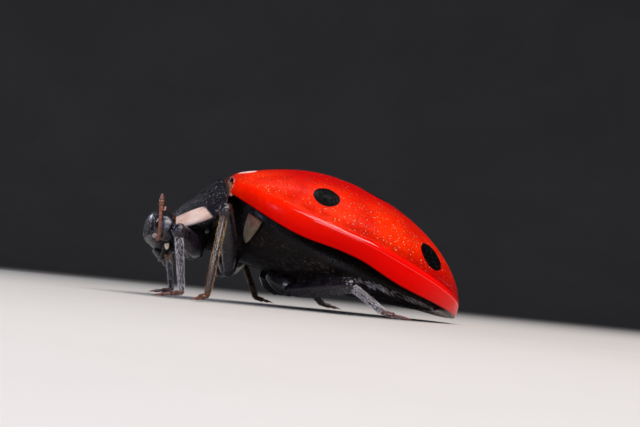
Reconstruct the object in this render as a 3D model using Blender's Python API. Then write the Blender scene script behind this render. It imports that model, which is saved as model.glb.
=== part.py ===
"""Seven-spot ladybird, a still life-size model standing head-down on a flat floor.

World frame: head toward -X, tail toward +X, the insect's left side toward -Y, +Z up, floor at Z = 0.
Sizes below are millimetres; meshes are written in metres through MM.
"""

import math

import bmesh
import bpy
import numpy as np
from mathutils import Matrix, Vector

MM = 0.001
GAP = 0.03  # the thin cut between neighbouring pieces

# --- Stance: where each region's own frame sits in the world ------------------------------------------
SHIFT_X = -0.24  # centres the whole insect over the origin
BODY_BASE = Vector((-1.90 + SHIFT_X, 0.0, 1.53))  # front of the wing cases, level with their margin
BODY_PITCH = math.radians(13)  # nose-up tilt of the hind body
PRONOTUM_BASE = Vector((-1.83 + SHIFT_X, 0.0, 2.70))  # middle of the pronotum's hind edge
PRONOTUM_DIP = math.radians(40)  # how steeply the pronotum slopes down toward the head
HEAD_CENTRE = Vector((-2.98 + SHIFT_X, 0.0, 1.33))
HEAD_TILT = math.radians(-8)  # draws the mouth back under the head

# --- Wing cases (elytra), in the body frame: x back, z up from the margin plane ------------------------
SHELL_LENGTH = 5.9
SHELL_HALF_WIDTH = 2.75
SHELL_HEIGHT = 2.0
SHELL_FRONT_HEIGHT = 1.3
WIDEST_X = 2.3
HIGHEST_X = 2.2
SHOULDER_NARROWING = 0.62
SHOULDER_RISE = 0.8  # how far the margin climbs toward the shoulder
SHOULDER_END = 2.6
APEX_DROOP = 0.1
WALL = 0.5
FRONT_WALL = 0.35
SCUTELLUM_LENGTH = 0.5
SCUTELLUM_HALF_WIDTH = 0.3
SCUTELLUM_DEPTH = 0.25

# --- Trunk (thorax underside and abdomen) --------------------------------------------------------------
TRUNK_CLEARANCE = 0.07
TRUNK_DEPTH = 0.45  # belly below the margin plane at mid body
MESOTHORAX_X = (-0.05, 0.5)
METASTERNUM_X = (0.5, 2.35)
ABDOMEN_SEGMENTS = (0.78, 0.6, 0.5, 0.42, 0.36, 0.3)  # lengths, front to back

# --- Pronotum, in its own frame: x forward and down the slope, z out of its back ------------------------
PRONOTUM_HALF_WIDTH = 1.62
PRONOTUM_LENGTH = 1.25
PRONOTUM_ARCH = 0.45
PRONOTUM_THICKNESS = 0.4

# --- Head ------------------------------------------------------------------------------------------------
HEAD_HALF_HEIGHT = 0.52
HEAD_HALF_WIDTH = 0.95
HEAD_HALF_DEPTH = 0.38
EYE_CENTRE = Vector((-0.04, 0.76, 0.14))
EYE_RADII = Vector((0.27, 0.23, 0.31))

# --- Limbs: each joint as (x, outward from the middle, z) -----------------------------------------------
LEG_SIDES = 10
KNEE_BEND_RADIUS = 0.3
LEAST_SETBACK = 0.13  # even a slight bend is spread over this length on each side of its corner
TOE_LIFT = 0.17  # height of a foot's tip line; what would lie below the floor is flattened onto it
LEG_RADII = {
    "coxa": (0.25, 0.25),
    "femur": (0.22, 0.27),
    "tibia": (0.22, 0.235),
    "tarsus": (0.21, 0.2),
}
ANTENNA_RADII = (0.2, 0.22)
PALP_RADII = (0.15, 0.18)
# Root and hip of each coxa, the same on both sides
HIPS = {
    "front": ((-2.32, 0.22, 1.02), (-2.2, 0.62, 0.98)),
    "middle": ((-1.5, 0.2, 0.68), (-1.52, 0.72, 0.64)),
    "hind": ((-0.35, 0.25, 0.38), (-0.2, 0.75, 0.38)),
}
# Knee, ankle and toe: the insect is in mid step, so the two sides reach differently
REACH = {
    "front": {
        "left": ((-2.8, 2.04, 1.36), (-2.6, 1.98, 0.32), (-3.05, 2.12, TOE_LIFT)),
        "right": ((-2.68, 2.04, 1.38), (-2.42, 2.2, 0.32), (-2.8, 2.45, TOE_LIFT)),
    },
    "middle": {
        "left": ((-1.97, 2.5, 2.2), (-2.15, 2.52, 0.3), (-2.4, 3.0, TOE_LIFT)),
        "right": ((-0.7, 2.62, 1.2), (-0.28, 2.74, 0.3), (0.1, 3.02, TOE_LIFT)),
    },
    "hind": {
        "left": ((0.72, 2.62, 0.62), (1.3, 3.0, 0.28), (1.72, 3.2, TOE_LIFT)),
        "right": ((0.9, 2.62, 0.57), (1.48, 2.96, 0.28), (1.9, 3.16, TOE_LIFT)),
    },
}
PALPS = ((-2.78, 0.68, 0.72), (-2.77, 0.9, 0.66), (-2.75, 1.1, 0.8))
ANTENNAE = {
    "left": ((-3.1, 1.06, 1.08), (-3.12, 1.24, 1.12), (-3.12, 1.24, 2.05)),
    "right": ((-3.1, 1.06, 1.08), (-3.06, 1.28, 1.14), (-2.84, 1.45, 1.95)),
}

COLOURS = {
    "shell_red": ((0.72, 0.03, 0.01, 1), 0.25),
    "cuticle_black": ((0.01, 0.01, 0.012, 1), 0.3),
    "eye_black": ((0.01, 0.012, 0.02, 1), 0.12),
    "mouth_brown": ((0.35, 0.12, 0.04, 1), 0.4),
    "plate_cream": ((0.75, 0.62, 0.45, 1), 0.45),
    "leg_black": ((0.03, 0.022, 0.02, 1), 0.45),
}


def clear_scene():
    for obj in list(bpy.data.objects):
        bpy.data.objects.remove(obj, do_unlink=True)


def make_materials():
    materials = {}
    for name, (colour, roughness) in COLOURS.items():
        material = bpy.data.materials.new(name)
        material.use_nodes = True
        shader = material.node_tree.nodes["Principled BSDF"]
        shader.inputs["Base Color"].default_value = colour
        shader.inputs["Roughness"].default_value = roughness
        shader.inputs["Metallic"].default_value = 0.0
        materials[name] = material
    return materials


def make_axis(name, location, tilt):
    """An empty that carries one region: its local X leans by tilt about world Y."""
    axis = bpy.data.objects.new(name, None)
    axis.location = location * MM
    axis.rotation_euler = (0, tilt, 0)
    bpy.context.scene.collection.objects.link(axis)
    return axis


def finish_object(name, bm, material, parent=None, location=None):
    """Turns the bmesh (millimetres) into one shaded object."""
    bmesh.ops.remove_doubles(bm, verts=bm.verts, dist=0.002)
    bmesh.ops.recalc_face_normals(bm, faces=bm.faces)
    bmesh.ops.scale(bm, vec=(MM, MM, MM), verts=bm.verts)
    mesh = bpy.data.meshes.new(name)
    bm.to_mesh(mesh)
    bm.free()
    mesh.materials.append(material)
    mesh.shade_smooth()
    mesh.set_sharp_from_angle(angle=math.radians(50))
    obj = bpy.data.objects.new(name, mesh)
    bpy.context.scene.collection.objects.link(obj)
    if parent is not None:
        obj.parent = parent
    if location is not None:
        obj.location = location * MM
    return obj


def stitch(bm, first, second):
    """Quads between two loops of equal count, closed round."""
    count = len(first)
    for i in range(count):
        j = (i + 1) % count
        bm.faces.new((first[i], first[j], second[j], second[i]))


def fan(bm, loop, tip):
    apex = bm.verts.new(tip)
    for i, vert in enumerate(loop):
        bm.faces.new((vert, loop[(i + 1) % len(loop)], apex))


def loft(name, rings, material, parent=None, location=None, start=None, end=None, floor=None):
    """One closed body through rings of points; start and end are the middle points of its caps.

    With a floor, what lies below that height is sliced off and leaves a flat."""
    bm = bmesh.new()
    loops = [[bm.verts.new(p) for p in ring] for ring in rings]
    for near, far in zip(loops, loops[1:]):
        stitch(bm, near, far)
    fan(bm, loops[0], start if start is not None else middle(rings[0]))
    fan(bm, loops[-1], end if end is not None else middle(rings[-1]))
    if floor is not None:
        whole = bm.verts[:] + bm.edges[:] + bm.faces[:]
        sliced = bmesh.ops.bisect_plane(
            bm, geom=whole, plane_co=(0, 0, floor), plane_no=(0, 0, -1), dist=1e-4, clear_outer=True
        )
        rim = [item for item in sliced["geom_cut"] if isinstance(item, bmesh.types.BMEdge)]
        bmesh.ops.edgeloop_fill(bm, edges=rim)
    return finish_object(name, bm, material, parent, location)


def middle(ring):
    return sum((Vector(p) for p in ring), Vector()) / len(ring)


def shell(name, outer, inner, material, parent=None):
    """A plate with two faces, each a grid of points in rows, joined along all four borders."""
    bm = bmesh.new()
    top = [[bm.verts.new(p) for p in row] for row in outer]
    bottom = [[bm.verts.new(p) for p in row] for row in inner]
    last_row, last_column = len(outer) - 1, len(outer[0]) - 1
    for grid in (top, bottom):
        for r in range(last_row):
            for c in range(last_column):
                bm.faces.new((grid[r][c], grid[r][c + 1], grid[r + 1][c + 1], grid[r + 1][c]))
    for r in (0, last_row):
        for c in range(last_column):
            bm.faces.new((top[r][c], top[r][c + 1], bottom[r][c + 1], bottom[r][c]))
    for c in (0, last_column):
        for r in range(last_row):
            bm.faces.new((top[r][c], top[r + 1][c], bottom[r + 1][c], bottom[r][c]))
    return finish_object(name, bm, material, parent)


def spaced(start, end, count):
    return [float(v) for v in np.linspace(start, end, count)]


# --- Wing cases ----------------------------------------------------------------------------------------


def shell_half_width(x):
    if x < WIDEST_X:
        forward = (WIDEST_X - x) / WIDEST_X
        return SHELL_HALF_WIDTH * (1 - SHOULDER_NARROWING * forward**2.6) ** 0.75
    back = min((x - WIDEST_X) / (SHELL_LENGTH - WIDEST_X), 1)
    return SHELL_HALF_WIDTH * math.sqrt(1 - back**2.3)


def shell_crest(x):
    if x < HIGHEST_X:
        climb = math.sin(max(x, 0) / HIGHEST_X * math.pi / 2) ** 0.9
        return SHELL_FRONT_HEIGHT + (SHELL_HEIGHT - SHELL_FRONT_HEIGHT) * climb
    back = min((x - HIGHEST_X) / (SHELL_LENGTH - HIGHEST_X), 1)
    return max(SHELL_HEIGHT * (1 - back**2.1) ** 0.62, shell_margin(x))


def shell_margin(x):
    rise = SHOULDER_RISE * max(1 - x / SHOULDER_END, 0) ** 1.5
    droop = APEX_DROOP * min(max((x - SHOULDER_END) / (SHELL_LENGTH - SHOULDER_END), 0), 1) ** 2
    return rise - droop


def wall_at(x):
    return FRONT_WALL + (WALL - FRONT_WALL) * min(max(x, 0), 1)


def outer_station(x):
    """The outer surface's station that backs the cavity's station x."""
    return min(max(x, 0) * SHELL_LENGTH / (SHELL_LENGTH - WALL), SHELL_LENGTH)


def cavity_half_width(x):
    station = outer_station(x)
    width = shell_half_width(station)
    if station < WIDEST_X:
        return width - wall_at(station)
    return width * (SHELL_HALF_WIDTH - WALL) / SHELL_HALF_WIDTH


def cavity_crest(x):
    station = outer_station(x)
    crest, margin = shell_crest(station), shell_margin(station)
    if station < HIGHEST_X:
        return crest - wall_at(station)
    return margin + (crest - margin) * (SHELL_HEIGHT - WALL) / SHELL_HEIGHT


def seam(x):
    """Where an elytron's inner edge runs: along the suture, and outside the scutellum in front."""
    return GAP / 2 + (SCUTELLUM_HALF_WIDTH + GAP) * max(1 - x / (SCUTELLUM_LENGTH + GAP), 0)


def arch_row(x, half_width, crest, margin, edge, side, columns):
    """One row of shell points, from the margin up and over to the suture."""
    row = []
    for turn in spaced(0, math.pi / 2, columns):
        y = edge + max(half_width - edge, 0) * max(math.cos(turn), 0) ** 0.9
        z = margin + (crest - margin) * math.sin(turn) ** 0.95
        row.append((x, side * y, z))
    return row


def make_elytron(name, side, material, parent):
    rows, columns = 20, 10
    outer, inner = [], []
    for i in range(rows):
        x = SHELL_LENGTH * (1 - math.cos(math.pi * i / (rows - 1))) / 2
        within = x * (SHELL_LENGTH - WALL) / SHELL_LENGTH
        margin, edge = shell_margin(x), seam(x)
        outer.append(arch_row(x, shell_half_width(x), shell_crest(x), margin, edge, side, columns))
        half, crest = cavity_half_width(within), cavity_crest(within)
        inner.append(arch_row(within, half, crest, margin, edge, side, columns))
    return shell(name, outer, inner, material, parent)


def make_scutellum(material, parent):
    outer, inner = [], []
    for x in spaced(0, SCUTELLUM_LENGTH, 5):
        half = SCUTELLUM_HALF_WIDTH * (1 - x / SCUTELLUM_LENGTH)
        top = shell_crest(x) - GAP
        outer.append([(x, y, top - 0.3 * y * y) for y in spaced(-half, half, 5)])
        inner.append([(x, y, top - SCUTELLUM_DEPTH) for y in spaced(-half, half, 5)])
    return shell("scutellum", outer, inner, material, parent)


# --- Trunk ---------------------------------------------------------------------------------------------


def trunk_point(x, turn, swell=0.0):
    """A point on the trunk at station x; turn 0 is the left flank, growing over the back."""
    half = cavity_half_width(x) - TRUNK_CLEARANCE + swell
    margin = shell_margin(x)
    roof = cavity_crest(x) - TRUNK_CLEARANCE
    belly = -TRUNK_DEPTH * (1 - max((x - 1.5) / (SHELL_LENGTH - 1.5), 0) ** 2)
    rise = math.sin(turn)
    z = margin + (roof - margin) * rise if rise > 0 else margin - (belly - margin) * rise
    if rise <= 0:
        z -= swell * abs(rise)
    return Vector((x, -half * math.cos(turn), z))


def trunk_ring(x, shrink=1.0, roof_limit=None):
    ring = []
    for turn in spaced(0, 2 * math.pi, 21)[:-1]:
        p = trunk_point(x, turn)
        z = p.z if roof_limit is None else min(p.z, roof_limit)
        ring.append((p.x, p.y * shrink, z))
    return ring


def make_trunk_piece(name, start, end, material, parent, count=3, **first_ring):
    stations = spaced(start + GAP / 2, end - GAP / 2, count)
    rings = [trunk_ring(x) for x in stations]
    if first_ring:
        rings[0] = trunk_ring(stations[0], **first_ring)
    return loft(name, rings, material, parent)


def make_trunk(materials, parent):
    black = materials["cuticle_black"]
    make_trunk_piece("mesothorax", *MESOTHORAX_X, black, parent, 3, shrink=0.92, roof_limit=0.58)
    make_trunk_piece("metasternum", *METASTERNUM_X, black, parent, 5)
    start = METASTERNUM_X[1]
    for number, length in enumerate(ABDOMEN_SEGMENTS, 1):
        make_trunk_piece(f"abdomen_{number}", start, start + length, black, parent)
        start += length


def make_mesepimeron(name, side, material, parent):
    """The pale three-cornered plate on the flank, under the shoulder of the wing case."""
    outer, inner = [], []
    for row, turn in enumerate(spaced(math.radians(-8), math.radians(-42), 5)):
        narrowing = 1 - 0.8 * row / 4
        front, back = 0.74 - 0.36 * narrowing, 0.74 + 0.12 * narrowing
        for grid, swell in ((outer, GAP + 0.17), (inner, GAP)):
            points = [trunk_point(x, turn, swell) for x in spaced(front, back, 4)]
            grid.append([(p.x, -side * p.y, p.z) for p in points])
    return shell(name, outer, inner, material, parent)


# --- Pronotum and prothorax ----------------------------------------------------------------------------


def pronotum_point(along, across, depth=0.0):
    """A point on the pronotum in its own frame; along 0..1 runs forward, across -1..1 sideways."""
    hind, front = 0.38 * across**2, PRONOTUM_LENGTH + 0.28 * across**2
    reach = hind + (front - hind) * along
    half = PRONOTUM_HALF_WIDTH + 0.1 * math.sin(math.pi * along) - 0.42 * along**1.8
    y = across * half
    height = -PRONOTUM_ARCH * (y / PRONOTUM_HALF_WIDTH) ** 2 - 0.06 * along**2
    return Vector((-reach, y, height - depth))


def pronotum_thickness(along, across):
    bevel = min(along / 0.35, 1) ** 0.8
    return (0.1 + (PRONOTUM_THICKNESS - 0.1) * bevel) * (1 - 0.45 * across**4) * (1 - 0.3 * along**3)


def make_pronotum(material, parent):
    rows, columns = 9, 15
    outer, inner = [], []
    for along in spaced(0, 1, rows):
        across_values = spaced(-1, 1, columns)
        outer.append([pronotum_point(along, u) for u in across_values])
        inner.append([pronotum_point(along, u, pronotum_thickness(along, u)) for u in across_values])
    return shell("pronotum", outer, inner, material, parent)


def make_prosternum(material, pronotum_axis):
    """The prothorax's underside: it fills the space below the pronotum down to the front coxae."""
    to_world = axis_matrix(pronotum_axis)
    floor_front, floor_back = -2.5 + SHIFT_X, -2.07 + SHIFT_X
    roof, floor = [], []
    for step in spaced(0, 1, 6):
        along = 0.36 + 0.52 * step
        roof.append([])
        floor.append([])
        for u in spaced(-1, 1, 9):
            across = 0.66 * u
            depth = pronotum_thickness(along, across) + GAP
            roof[-1].append(to_world @ pronotum_point(along, across, depth))
            x = floor_back + (floor_front - floor_back) * step
            floor[-1].append((x, 0.9 * u, 1.34 + 0.14 * u * u))
    return shell("prosternum", roof, floor, material)


def axis_matrix(axis):
    """The axis' own placement, in millimetres."""
    return Matrix.Translation(axis.location / MM) @ Matrix.Rotation(axis.rotation_euler.y, 4, "Y")


# --- Head ----------------------------------------------------------------------------------------------


def ellipsoid(name, centre, radii, material, parent, segments=16, rings=10):
    bm = bmesh.new()
    bmesh.ops.create_uvsphere(bm, u_segments=segments, v_segments=rings, radius=1)
    bmesh.ops.scale(bm, vec=radii, verts=bm.verts)
    bmesh.ops.translate(bm, vec=centre, verts=bm.verts)
    return finish_object(name, bm, material, parent)


def cut_with(obj, cutter):
    """Takes the cutter's shape out of the object and hides the cutter."""
    modifier = obj.modifiers.new("cut", "BOOLEAN")
    modifier.operation = "DIFFERENCE"
    modifier.solver = "EXACT"
    modifier.object = cutter
    cutter.hide_render = True
    cutter.display_type = "WIRE"


def make_head(materials, axis):
    black = materials["cuticle_black"]
    rings = []
    for polar in spaced(math.radians(18), math.radians(140), 8):
        reach = math.sin(polar) ** 0.85
        ring = []
        for turn in spaced(0, 2 * math.pi, 25)[:-1]:
            x = HEAD_HALF_DEPTH * reach * signed_power(math.cos(turn), 0.85)
            y = HEAD_HALF_WIDTH * reach * signed_power(math.sin(turn), 0.9)
            ring.append((x, y, HEAD_HALF_HEIGHT * math.cos(polar)))
        rings.append(ring)
    head = loft("head", rings, black, axis, start=(0, 0, HEAD_HALF_HEIGHT))
    for name, side in (("left", -1), ("right", 1)):
        centre = Vector((EYE_CENTRE.x, side * EYE_CENTRE.y, EYE_CENTRE.z))
        ellipsoid(f"eye_{name}", centre, EYE_RADII, materials["eye_black"], axis)
        hollow = EYE_RADII + Vector((GAP, GAP, GAP))
        cut_with(head, ellipsoid(f"eye_socket_{name}", centre, hollow, black, axis))


def signed_power(value, power):
    return math.copysign(abs(value) ** power, value)


def make_mouthparts(materials, axis):
    """Labrum across the front of the mouth, with a mandible behind it on each side."""
    lip = []
    for z, half, depth in ((-0.43, 0.44, 0.17), (-0.52, 0.42, 0.17), (-0.62, 0.3, 0.13)):
        lip.append(oval((-0.1, 0, z), half, depth, 14))
    loft("labrum", lip, materials["cuticle_black"], axis)
    for name, side in (("left", -1), ("right", 1)):
        sections = ((-0.43, 0.27, 0.2, 0.11), (-0.55, 0.25, 0.19, 0.11), (-0.7, 0.16, 0.1, 0.08))
        jaw = [oval((0.2, side * y, z), half, depth, 10) for z, y, half, depth in sections]
        loft(f"mandible_{name}", jaw, materials["plate_cream"], axis)


def oval(centre, half_width, half_depth, count):
    x, y, z = centre
    return [
        (x + half_depth * math.cos(turn), y + half_width * math.sin(turn), z)
        for turn in spaced(0, 2 * math.pi, count + 1)[:-1]
    ]


# --- Limbs ---------------------------------------------------------------------------------------------


def fillet(corner, before, after, radius):
    """Points round a bend, with their directions, from the straight before it to the one after."""
    d1 = (corner - before).normalized()
    d2 = (after - corner).normalized()
    bend = d1.angle(d2)
    longest = 0.45 * min((corner - before).length, (after - corner).length)
    setback = min(max(radius * math.tan(bend / 2), LEAST_SETBACK), longest)
    true_radius = setback / math.tan(bend / 2)
    inward = (d2 - d1 * d1.dot(d2)).normalized()
    origin = corner - d1 * setback
    points = []
    for turn in spaced(0, bend, 7):
        place = origin + true_radius * (math.sin(turn) * d1 + (1 - math.cos(turn)) * inward)
        points.append((place, (math.cos(turn) * d1 + math.sin(turn) * inward).normalized()))
    return points


def tube_ring(place, direction, up, radius):
    across = direction.cross(up)
    turns = spaced(0, 2 * math.pi, LEG_SIDES + 1)[:-1]
    return [place + radius * (math.cos(turn) * across + math.sin(turn) * up) for turn in turns]


def carried_frames(rings, up):
    """The up vector of each ring, carried along the tube so that it never twists."""
    frames = []
    for _, direction, _ in rings:
        up = (up - direction * up.dot(direction)).normalized()
        frames.append(up)
    return frames


def make_tube(name, stations, radii, material, round_start, round_end, on_floor=False):
    """A tapering tube through (place, direction) stations; radii are those at its ends and middle."""
    end_radius, mid_radius = radii
    lengths = [0.0]
    for (a, _), (b, _) in zip(stations, stations[1:]):
        lengths.append(lengths[-1] + (b - a).length)
    rings = []
    for (place, direction), run in zip(stations, lengths):
        swell = math.sin(math.pi * run / lengths[-1])
        rings.append((place, direction, end_radius + (mid_radius - end_radius) * swell))
    first, last = rings[0], rings[-1]
    if round_start:
        rings.insert(0, (first[0] - first[1] * first[2] * 0.5, first[1], first[2] * 0.7))
    if round_end:
        rings.append((last[0] + last[1] * last[2] * 0.5, last[1], last[2] * 0.7))
    home = rings[0][0].copy()
    loops = []
    for (place, direction, radius), up in zip(rings, carried_frames(rings, rings[0][1].orthogonal())):
        loops.append([p - home for p in tube_ring(place, direction, up, radius)])
    return loft(name, loops, material, location=home, floor=-home.z if on_floor else None)


def outward(points, side):
    return [Vector((x + SHIFT_X, side * y, z)) for x, y, z in points]


def make_leg(pair, name, side, joints, material):
    """Coxa, femur, tibia and tarsus along one bent line, parted by thin cuts in the bends."""
    joints = outward(joints, side)
    bends = [fillet(joints[i], joints[i - 1], joints[i + 1], KNEE_BEND_RADIUS) for i in (1, 2, 3)]
    last = len(joints) - 2
    for i, part in enumerate(("coxa", "femur", "tibia", "tarsus")):
        stations = []
        if i == 0:
            stations.append((joints[0], (joints[1] - joints[0]).normalized()))
        else:
            stations += cut_bend(bends[i - 1], after=True)
        if i == last:
            stations.append((joints[-1], (joints[-1] - joints[-2]).normalized()))
        else:
            onward = cut_bend(bends[i], after=False)
            if (onward[0][0] - stations[-1][0]).length > 0.25:
                a, b = stations[-1], onward[0]
                stations.append(((a[0] + b[0]) / 2, (b[0] - a[0]).normalized()))
            stations += onward
        make_tube(f"{pair}_{part}_{name}", stations, LEG_RADII[part], material, i == 0, i == last, i == last)


def cut_bend(bend, after):
    """The half of a bend on one side of the cut at its middle."""
    place, direction = bend[3]
    if after:
        return [(place + direction * GAP / 2, direction), bend[5], bend[6]]
    return [bend[0], bend[1], (place - direction * GAP / 2, direction)]


def make_feeler(name, side, points, radii, material):
    root, elbow, tip = outward(points, side)
    bend = fillet(elbow, root, tip, 0.35)
    stations = [(root, bend[0][1])] + bend[::2] + [(tip, bend[-1][1])]
    make_tube(name, stations, radii, material, True, True)


def build():
    clear_scene()
    materials = make_materials()
    body_axis = make_axis("body_axis", BODY_BASE, BODY_PITCH)
    pronotum_axis = make_axis("pronotum_axis", PRONOTUM_BASE, -PRONOTUM_DIP)
    head_axis = make_axis("head_axis", HEAD_CENTRE, HEAD_TILT)

    for name, side in (("left", -1), ("right", 1)):
        make_elytron(f"elytron_{name}", side, materials["shell_red"], body_axis)
        make_mesepimeron(f"mesepimeron_{name}", side, materials["plate_cream"], body_axis)
        make_feeler(f"antenna_{name}", side, ANTENNAE[name], ANTENNA_RADII, materials["mouth_brown"])
        make_feeler(f"palp_{name}", side, PALPS, PALP_RADII, materials["mouth_brown"])
        for pair, hips in HIPS.items():
            make_leg(pair, name, side, hips + REACH[pair][name], materials["leg_black"])
    make_scutellum(materials["cuticle_black"], body_axis)
    make_trunk(materials, body_axis)
    make_pronotum(materials["cuticle_black"], pronotum_axis)
    make_prosternum(materials["cuticle_black"], pronotum_axis)
    make_head(materials, head_axis)
    make_mouthparts(materials, head_axis)


build()
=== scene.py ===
"""A seven-spot ladybird in life size, dressed over its fixed solids, on a pale floor in soft light.

Sizes are in millimetres, with the insect's head towards -X and its left side towards -Y; MM turns them
to metres. The wing cases, back shield and head each have a frame of their own, as in the solids.
"""

import math
import random

import bmesh
import bpy
from mathutils import Matrix, Vector

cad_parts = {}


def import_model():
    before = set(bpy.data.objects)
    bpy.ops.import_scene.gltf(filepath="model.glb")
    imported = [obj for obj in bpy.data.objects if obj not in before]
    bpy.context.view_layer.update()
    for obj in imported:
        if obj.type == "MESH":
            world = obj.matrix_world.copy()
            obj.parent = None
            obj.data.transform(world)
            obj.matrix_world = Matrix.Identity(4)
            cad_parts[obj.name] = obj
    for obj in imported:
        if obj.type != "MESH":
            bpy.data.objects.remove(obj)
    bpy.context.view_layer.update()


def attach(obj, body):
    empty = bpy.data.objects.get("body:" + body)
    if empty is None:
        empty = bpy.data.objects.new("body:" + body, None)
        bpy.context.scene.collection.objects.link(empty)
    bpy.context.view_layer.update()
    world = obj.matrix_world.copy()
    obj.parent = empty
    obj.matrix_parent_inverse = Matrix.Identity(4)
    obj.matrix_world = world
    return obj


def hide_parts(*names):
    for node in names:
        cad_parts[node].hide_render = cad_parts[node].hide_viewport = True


MM = 0.001
MERGE_REACH = 2e-8  # metres
SIDES = (("left", -1), ("right", 1))

# --- The solids' own sizes -----------------------------------------------------------------------------

GAP = 0.03
SHIFT_X = -0.24  # brings the insect's middle over the origin
BODY_BASE = Vector((-1.90 + SHIFT_X, 0, 1.53))
BODY_PITCH = math.radians(13)
SHIELD_BASE = Vector((-1.83 + SHIFT_X, 0, 2.70))
SHIELD_DIP = math.radians(-40)
HEAD_CENTRE = Vector((-2.98 + SHIFT_X, 0, 1.33))
HEAD_TILT = math.radians(-8)

SHELL_LENGTH = 5.9
SHELL_HALF_WIDTH = 2.75
SHELL_HEIGHT = 2.0
SHELL_FRONT_HEIGHT = 1.3
WIDEST_X = 2.3
HIGHEST_X = 2.2
SHOULDER_NARROWING = 0.62
SHOULDER_RISE = 0.8
SHOULDER_END = 2.6
SHOULDER_POWER = 2.6
SHOULDER_ROUNDING = 0.75
TAIL_POWER = 2.3
CLIMB_POWER = 0.9
DESCENT_POWER = 2.1
DESCENT_ROUNDING = 0.62
APEX_DROOP = 0.1
WALL = 0.5
FRONT_WALL = 0.35
SCUTELLUM_LENGTH = 0.5
SCUTELLUM_HALF_WIDTH = 0.3
SCUTELLUM_DEPTH = 0.25

TRUNK_CLEARANCE = 0.07
TRUNK_DEPTH = 0.45
CHEST_X = (-0.05, 2.35)
MIDDLE_CHEST_END = 0.5
ABDOMEN_SEGMENTS = (0.78, 0.6, 0.5, 0.42, 0.36, 0.3)

SHIELD_HALF_WIDTH = 1.62
SHIELD_LENGTH = 1.25
SHIELD_ARCH = 0.45
SHIELD_THICKNESS = 0.4

HEAD_HALF_HEIGHT = 0.52
HEAD_HALF_WIDTH = 0.95
HEAD_HALF_DEPTH = 0.38

# Root and hip, then knee, ankle and toe, with y outwards from the middle line.
HIPS = {
    "front": ((-2.32, 0.22, 1.02), (-2.2, 0.62, 0.98)),
    "middle": ((-1.5, 0.2, 0.68), (-1.52, 0.72, 0.64)),
    "hind": ((-0.35, 0.25, 0.38), (-0.2, 0.75, 0.38)),
}
REACH = {
    "front": {
        "left": ((-2.8, 2.04, 1.36), (-2.6, 1.98, 0.16), (-3.02, 2.12, 0.06)),
        "right": ((-2.68, 2.04, 1.38), (-2.42, 2.2, 0.16), (-2.8, 2.45, 0.06)),
    },
    "middle": {
        "left": ((-1.97, 2.5, 2.2), (-2.15, 2.52, 0.16), (-2.4, 3.0, 0.06)),
        "right": ((-0.7, 2.62, 1.2), (-0.28, 2.74, 0.16), (0.1, 3.02, 0.06)),
    },
    "hind": {
        "left": ((0.72, 2.62, 0.62), (1.3, 3.0, 0.16), (1.72, 3.2, 0.06)),
        "right": ((0.9, 2.62, 0.57), (1.48, 2.96, 0.16), (1.9, 3.16, 0.06)),
    },
}
FEELERS = {
    "left": ((-3.1, 0.8, 1.2), (-3.09, 1.1, 1.19), (-3.12, 1.2, 1.5), (-3.14, 1.24, 2.13)),
    "right": ((-3.1, 0.8, 1.2), (-3.08, 1.1, 1.18), (-2.98, 1.28, 1.5), (-2.82, 1.46, 2.06)),
}
PALPS = ((-2.9, 0.45, 0.92), (-2.8, 0.74, 0.8), (-2.77, 0.92, 0.76), (-2.78, 1.12, 0.78))

# --- Finer sizes that only the finished surface shows --------------------------------------------------

RIM_HEIGHT = 0.5  # from a wing case's lower lip up to its raised edge
RIM_TUCK = 0.14
RIDGE_HEIGHT = 0.03375
RIDGE_REACH = 0.09
GROOVE_DEPTH = 0.045
GROOVE_REACH = 0.06
GROOVE_ABOVE_RIDGE = 0.15
EDGE_BEND = 0.26  # how far the lower edge bends upwards, at which station and over what length
EDGE_BEND_X = 2.5
EDGE_BEND_REACH = 0.95
ARCH_SIDE_POWER = 0.9
ARCH_TOP_POWER = 0.95
SEAM_ROLL = 0.016
SEAM_ROLL_REACH = 0.022
FRONT_LIP = 0.16
SHELL_FRONT_WALL = 0.1
SEAM_HALF_GAP = 0.004
BODY_FRAME = Matrix.Translation(BODY_BASE) @ Matrix.Rotation(BODY_PITCH, 4, "Y")
SHIELD_FRAME = Matrix.Translation(SHIELD_BASE) @ Matrix.Rotation(SHIELD_DIP, 4, "Y")
HEAD_FRAME = Matrix.Translation(HEAD_CENTRE) @ Matrix.Rotation(HEAD_TILT, 4, "Y")


# --- Numbers -------------------------------------------------------------------------------------------


def spaced(start, end, count):
    return [start + (end - start) * i / (count - 1) for i in range(count)]


def clamp(value, low=0.0, high=1.0):
    return min(max(value, low), high)


def ease(value):
    """0 to 1 with soft ends."""
    value = clamp(value)
    return value * value * (3 - 2 * value)


def mix(a, b, share):
    return a + (b - a) * share


def bump(value):
    """A smooth hump, 1 at 0 and almost nothing past 2 either way."""
    return math.exp(-value * value)


def signed_power(value, power):
    return math.copysign(abs(value) ** power, value)


def outward(points, side):
    """Places given with y outwards, on that side and where the solids stand."""
    return [Vector((x + SHIFT_X, side * y, z)) for x, y, z in points]


# --- Making meshes -------------------------------------------------------------------------------------


def deselect():
    if bpy.context.object and bpy.context.object.mode != "OBJECT":
        bpy.ops.object.mode_set(mode="OBJECT")
    bpy.ops.object.select_all(action="DESELECT")


def select_only(piece):
    deselect()
    piece.select_set(True)
    bpy.context.view_layer.objects.active = piece


def placed(name, data):
    """A new object in the scene, from a mesh, a light or a camera."""
    made = bpy.data.objects.new(name, data)
    bpy.context.scene.collection.objects.link(made)
    return made


def shaped_sheet(name, columns, rows, place):
    """A flat grid whose points go where place(u, v) says, closed at its seams and poles."""
    deselect()
    bpy.ops.mesh.primitive_grid_add(x_subdivisions=columns, y_subdivisions=rows, size=1)
    piece = bpy.context.object
    piece.name = piece.data.name = name
    piece.data.uv_layers[0].name = "Surface"
    for vertex in piece.data.vertices:
        vertex.co = place(vertex.co.x + 0.5, vertex.co.y + 0.5) * MM
    close_seams(piece)
    return piece


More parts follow.
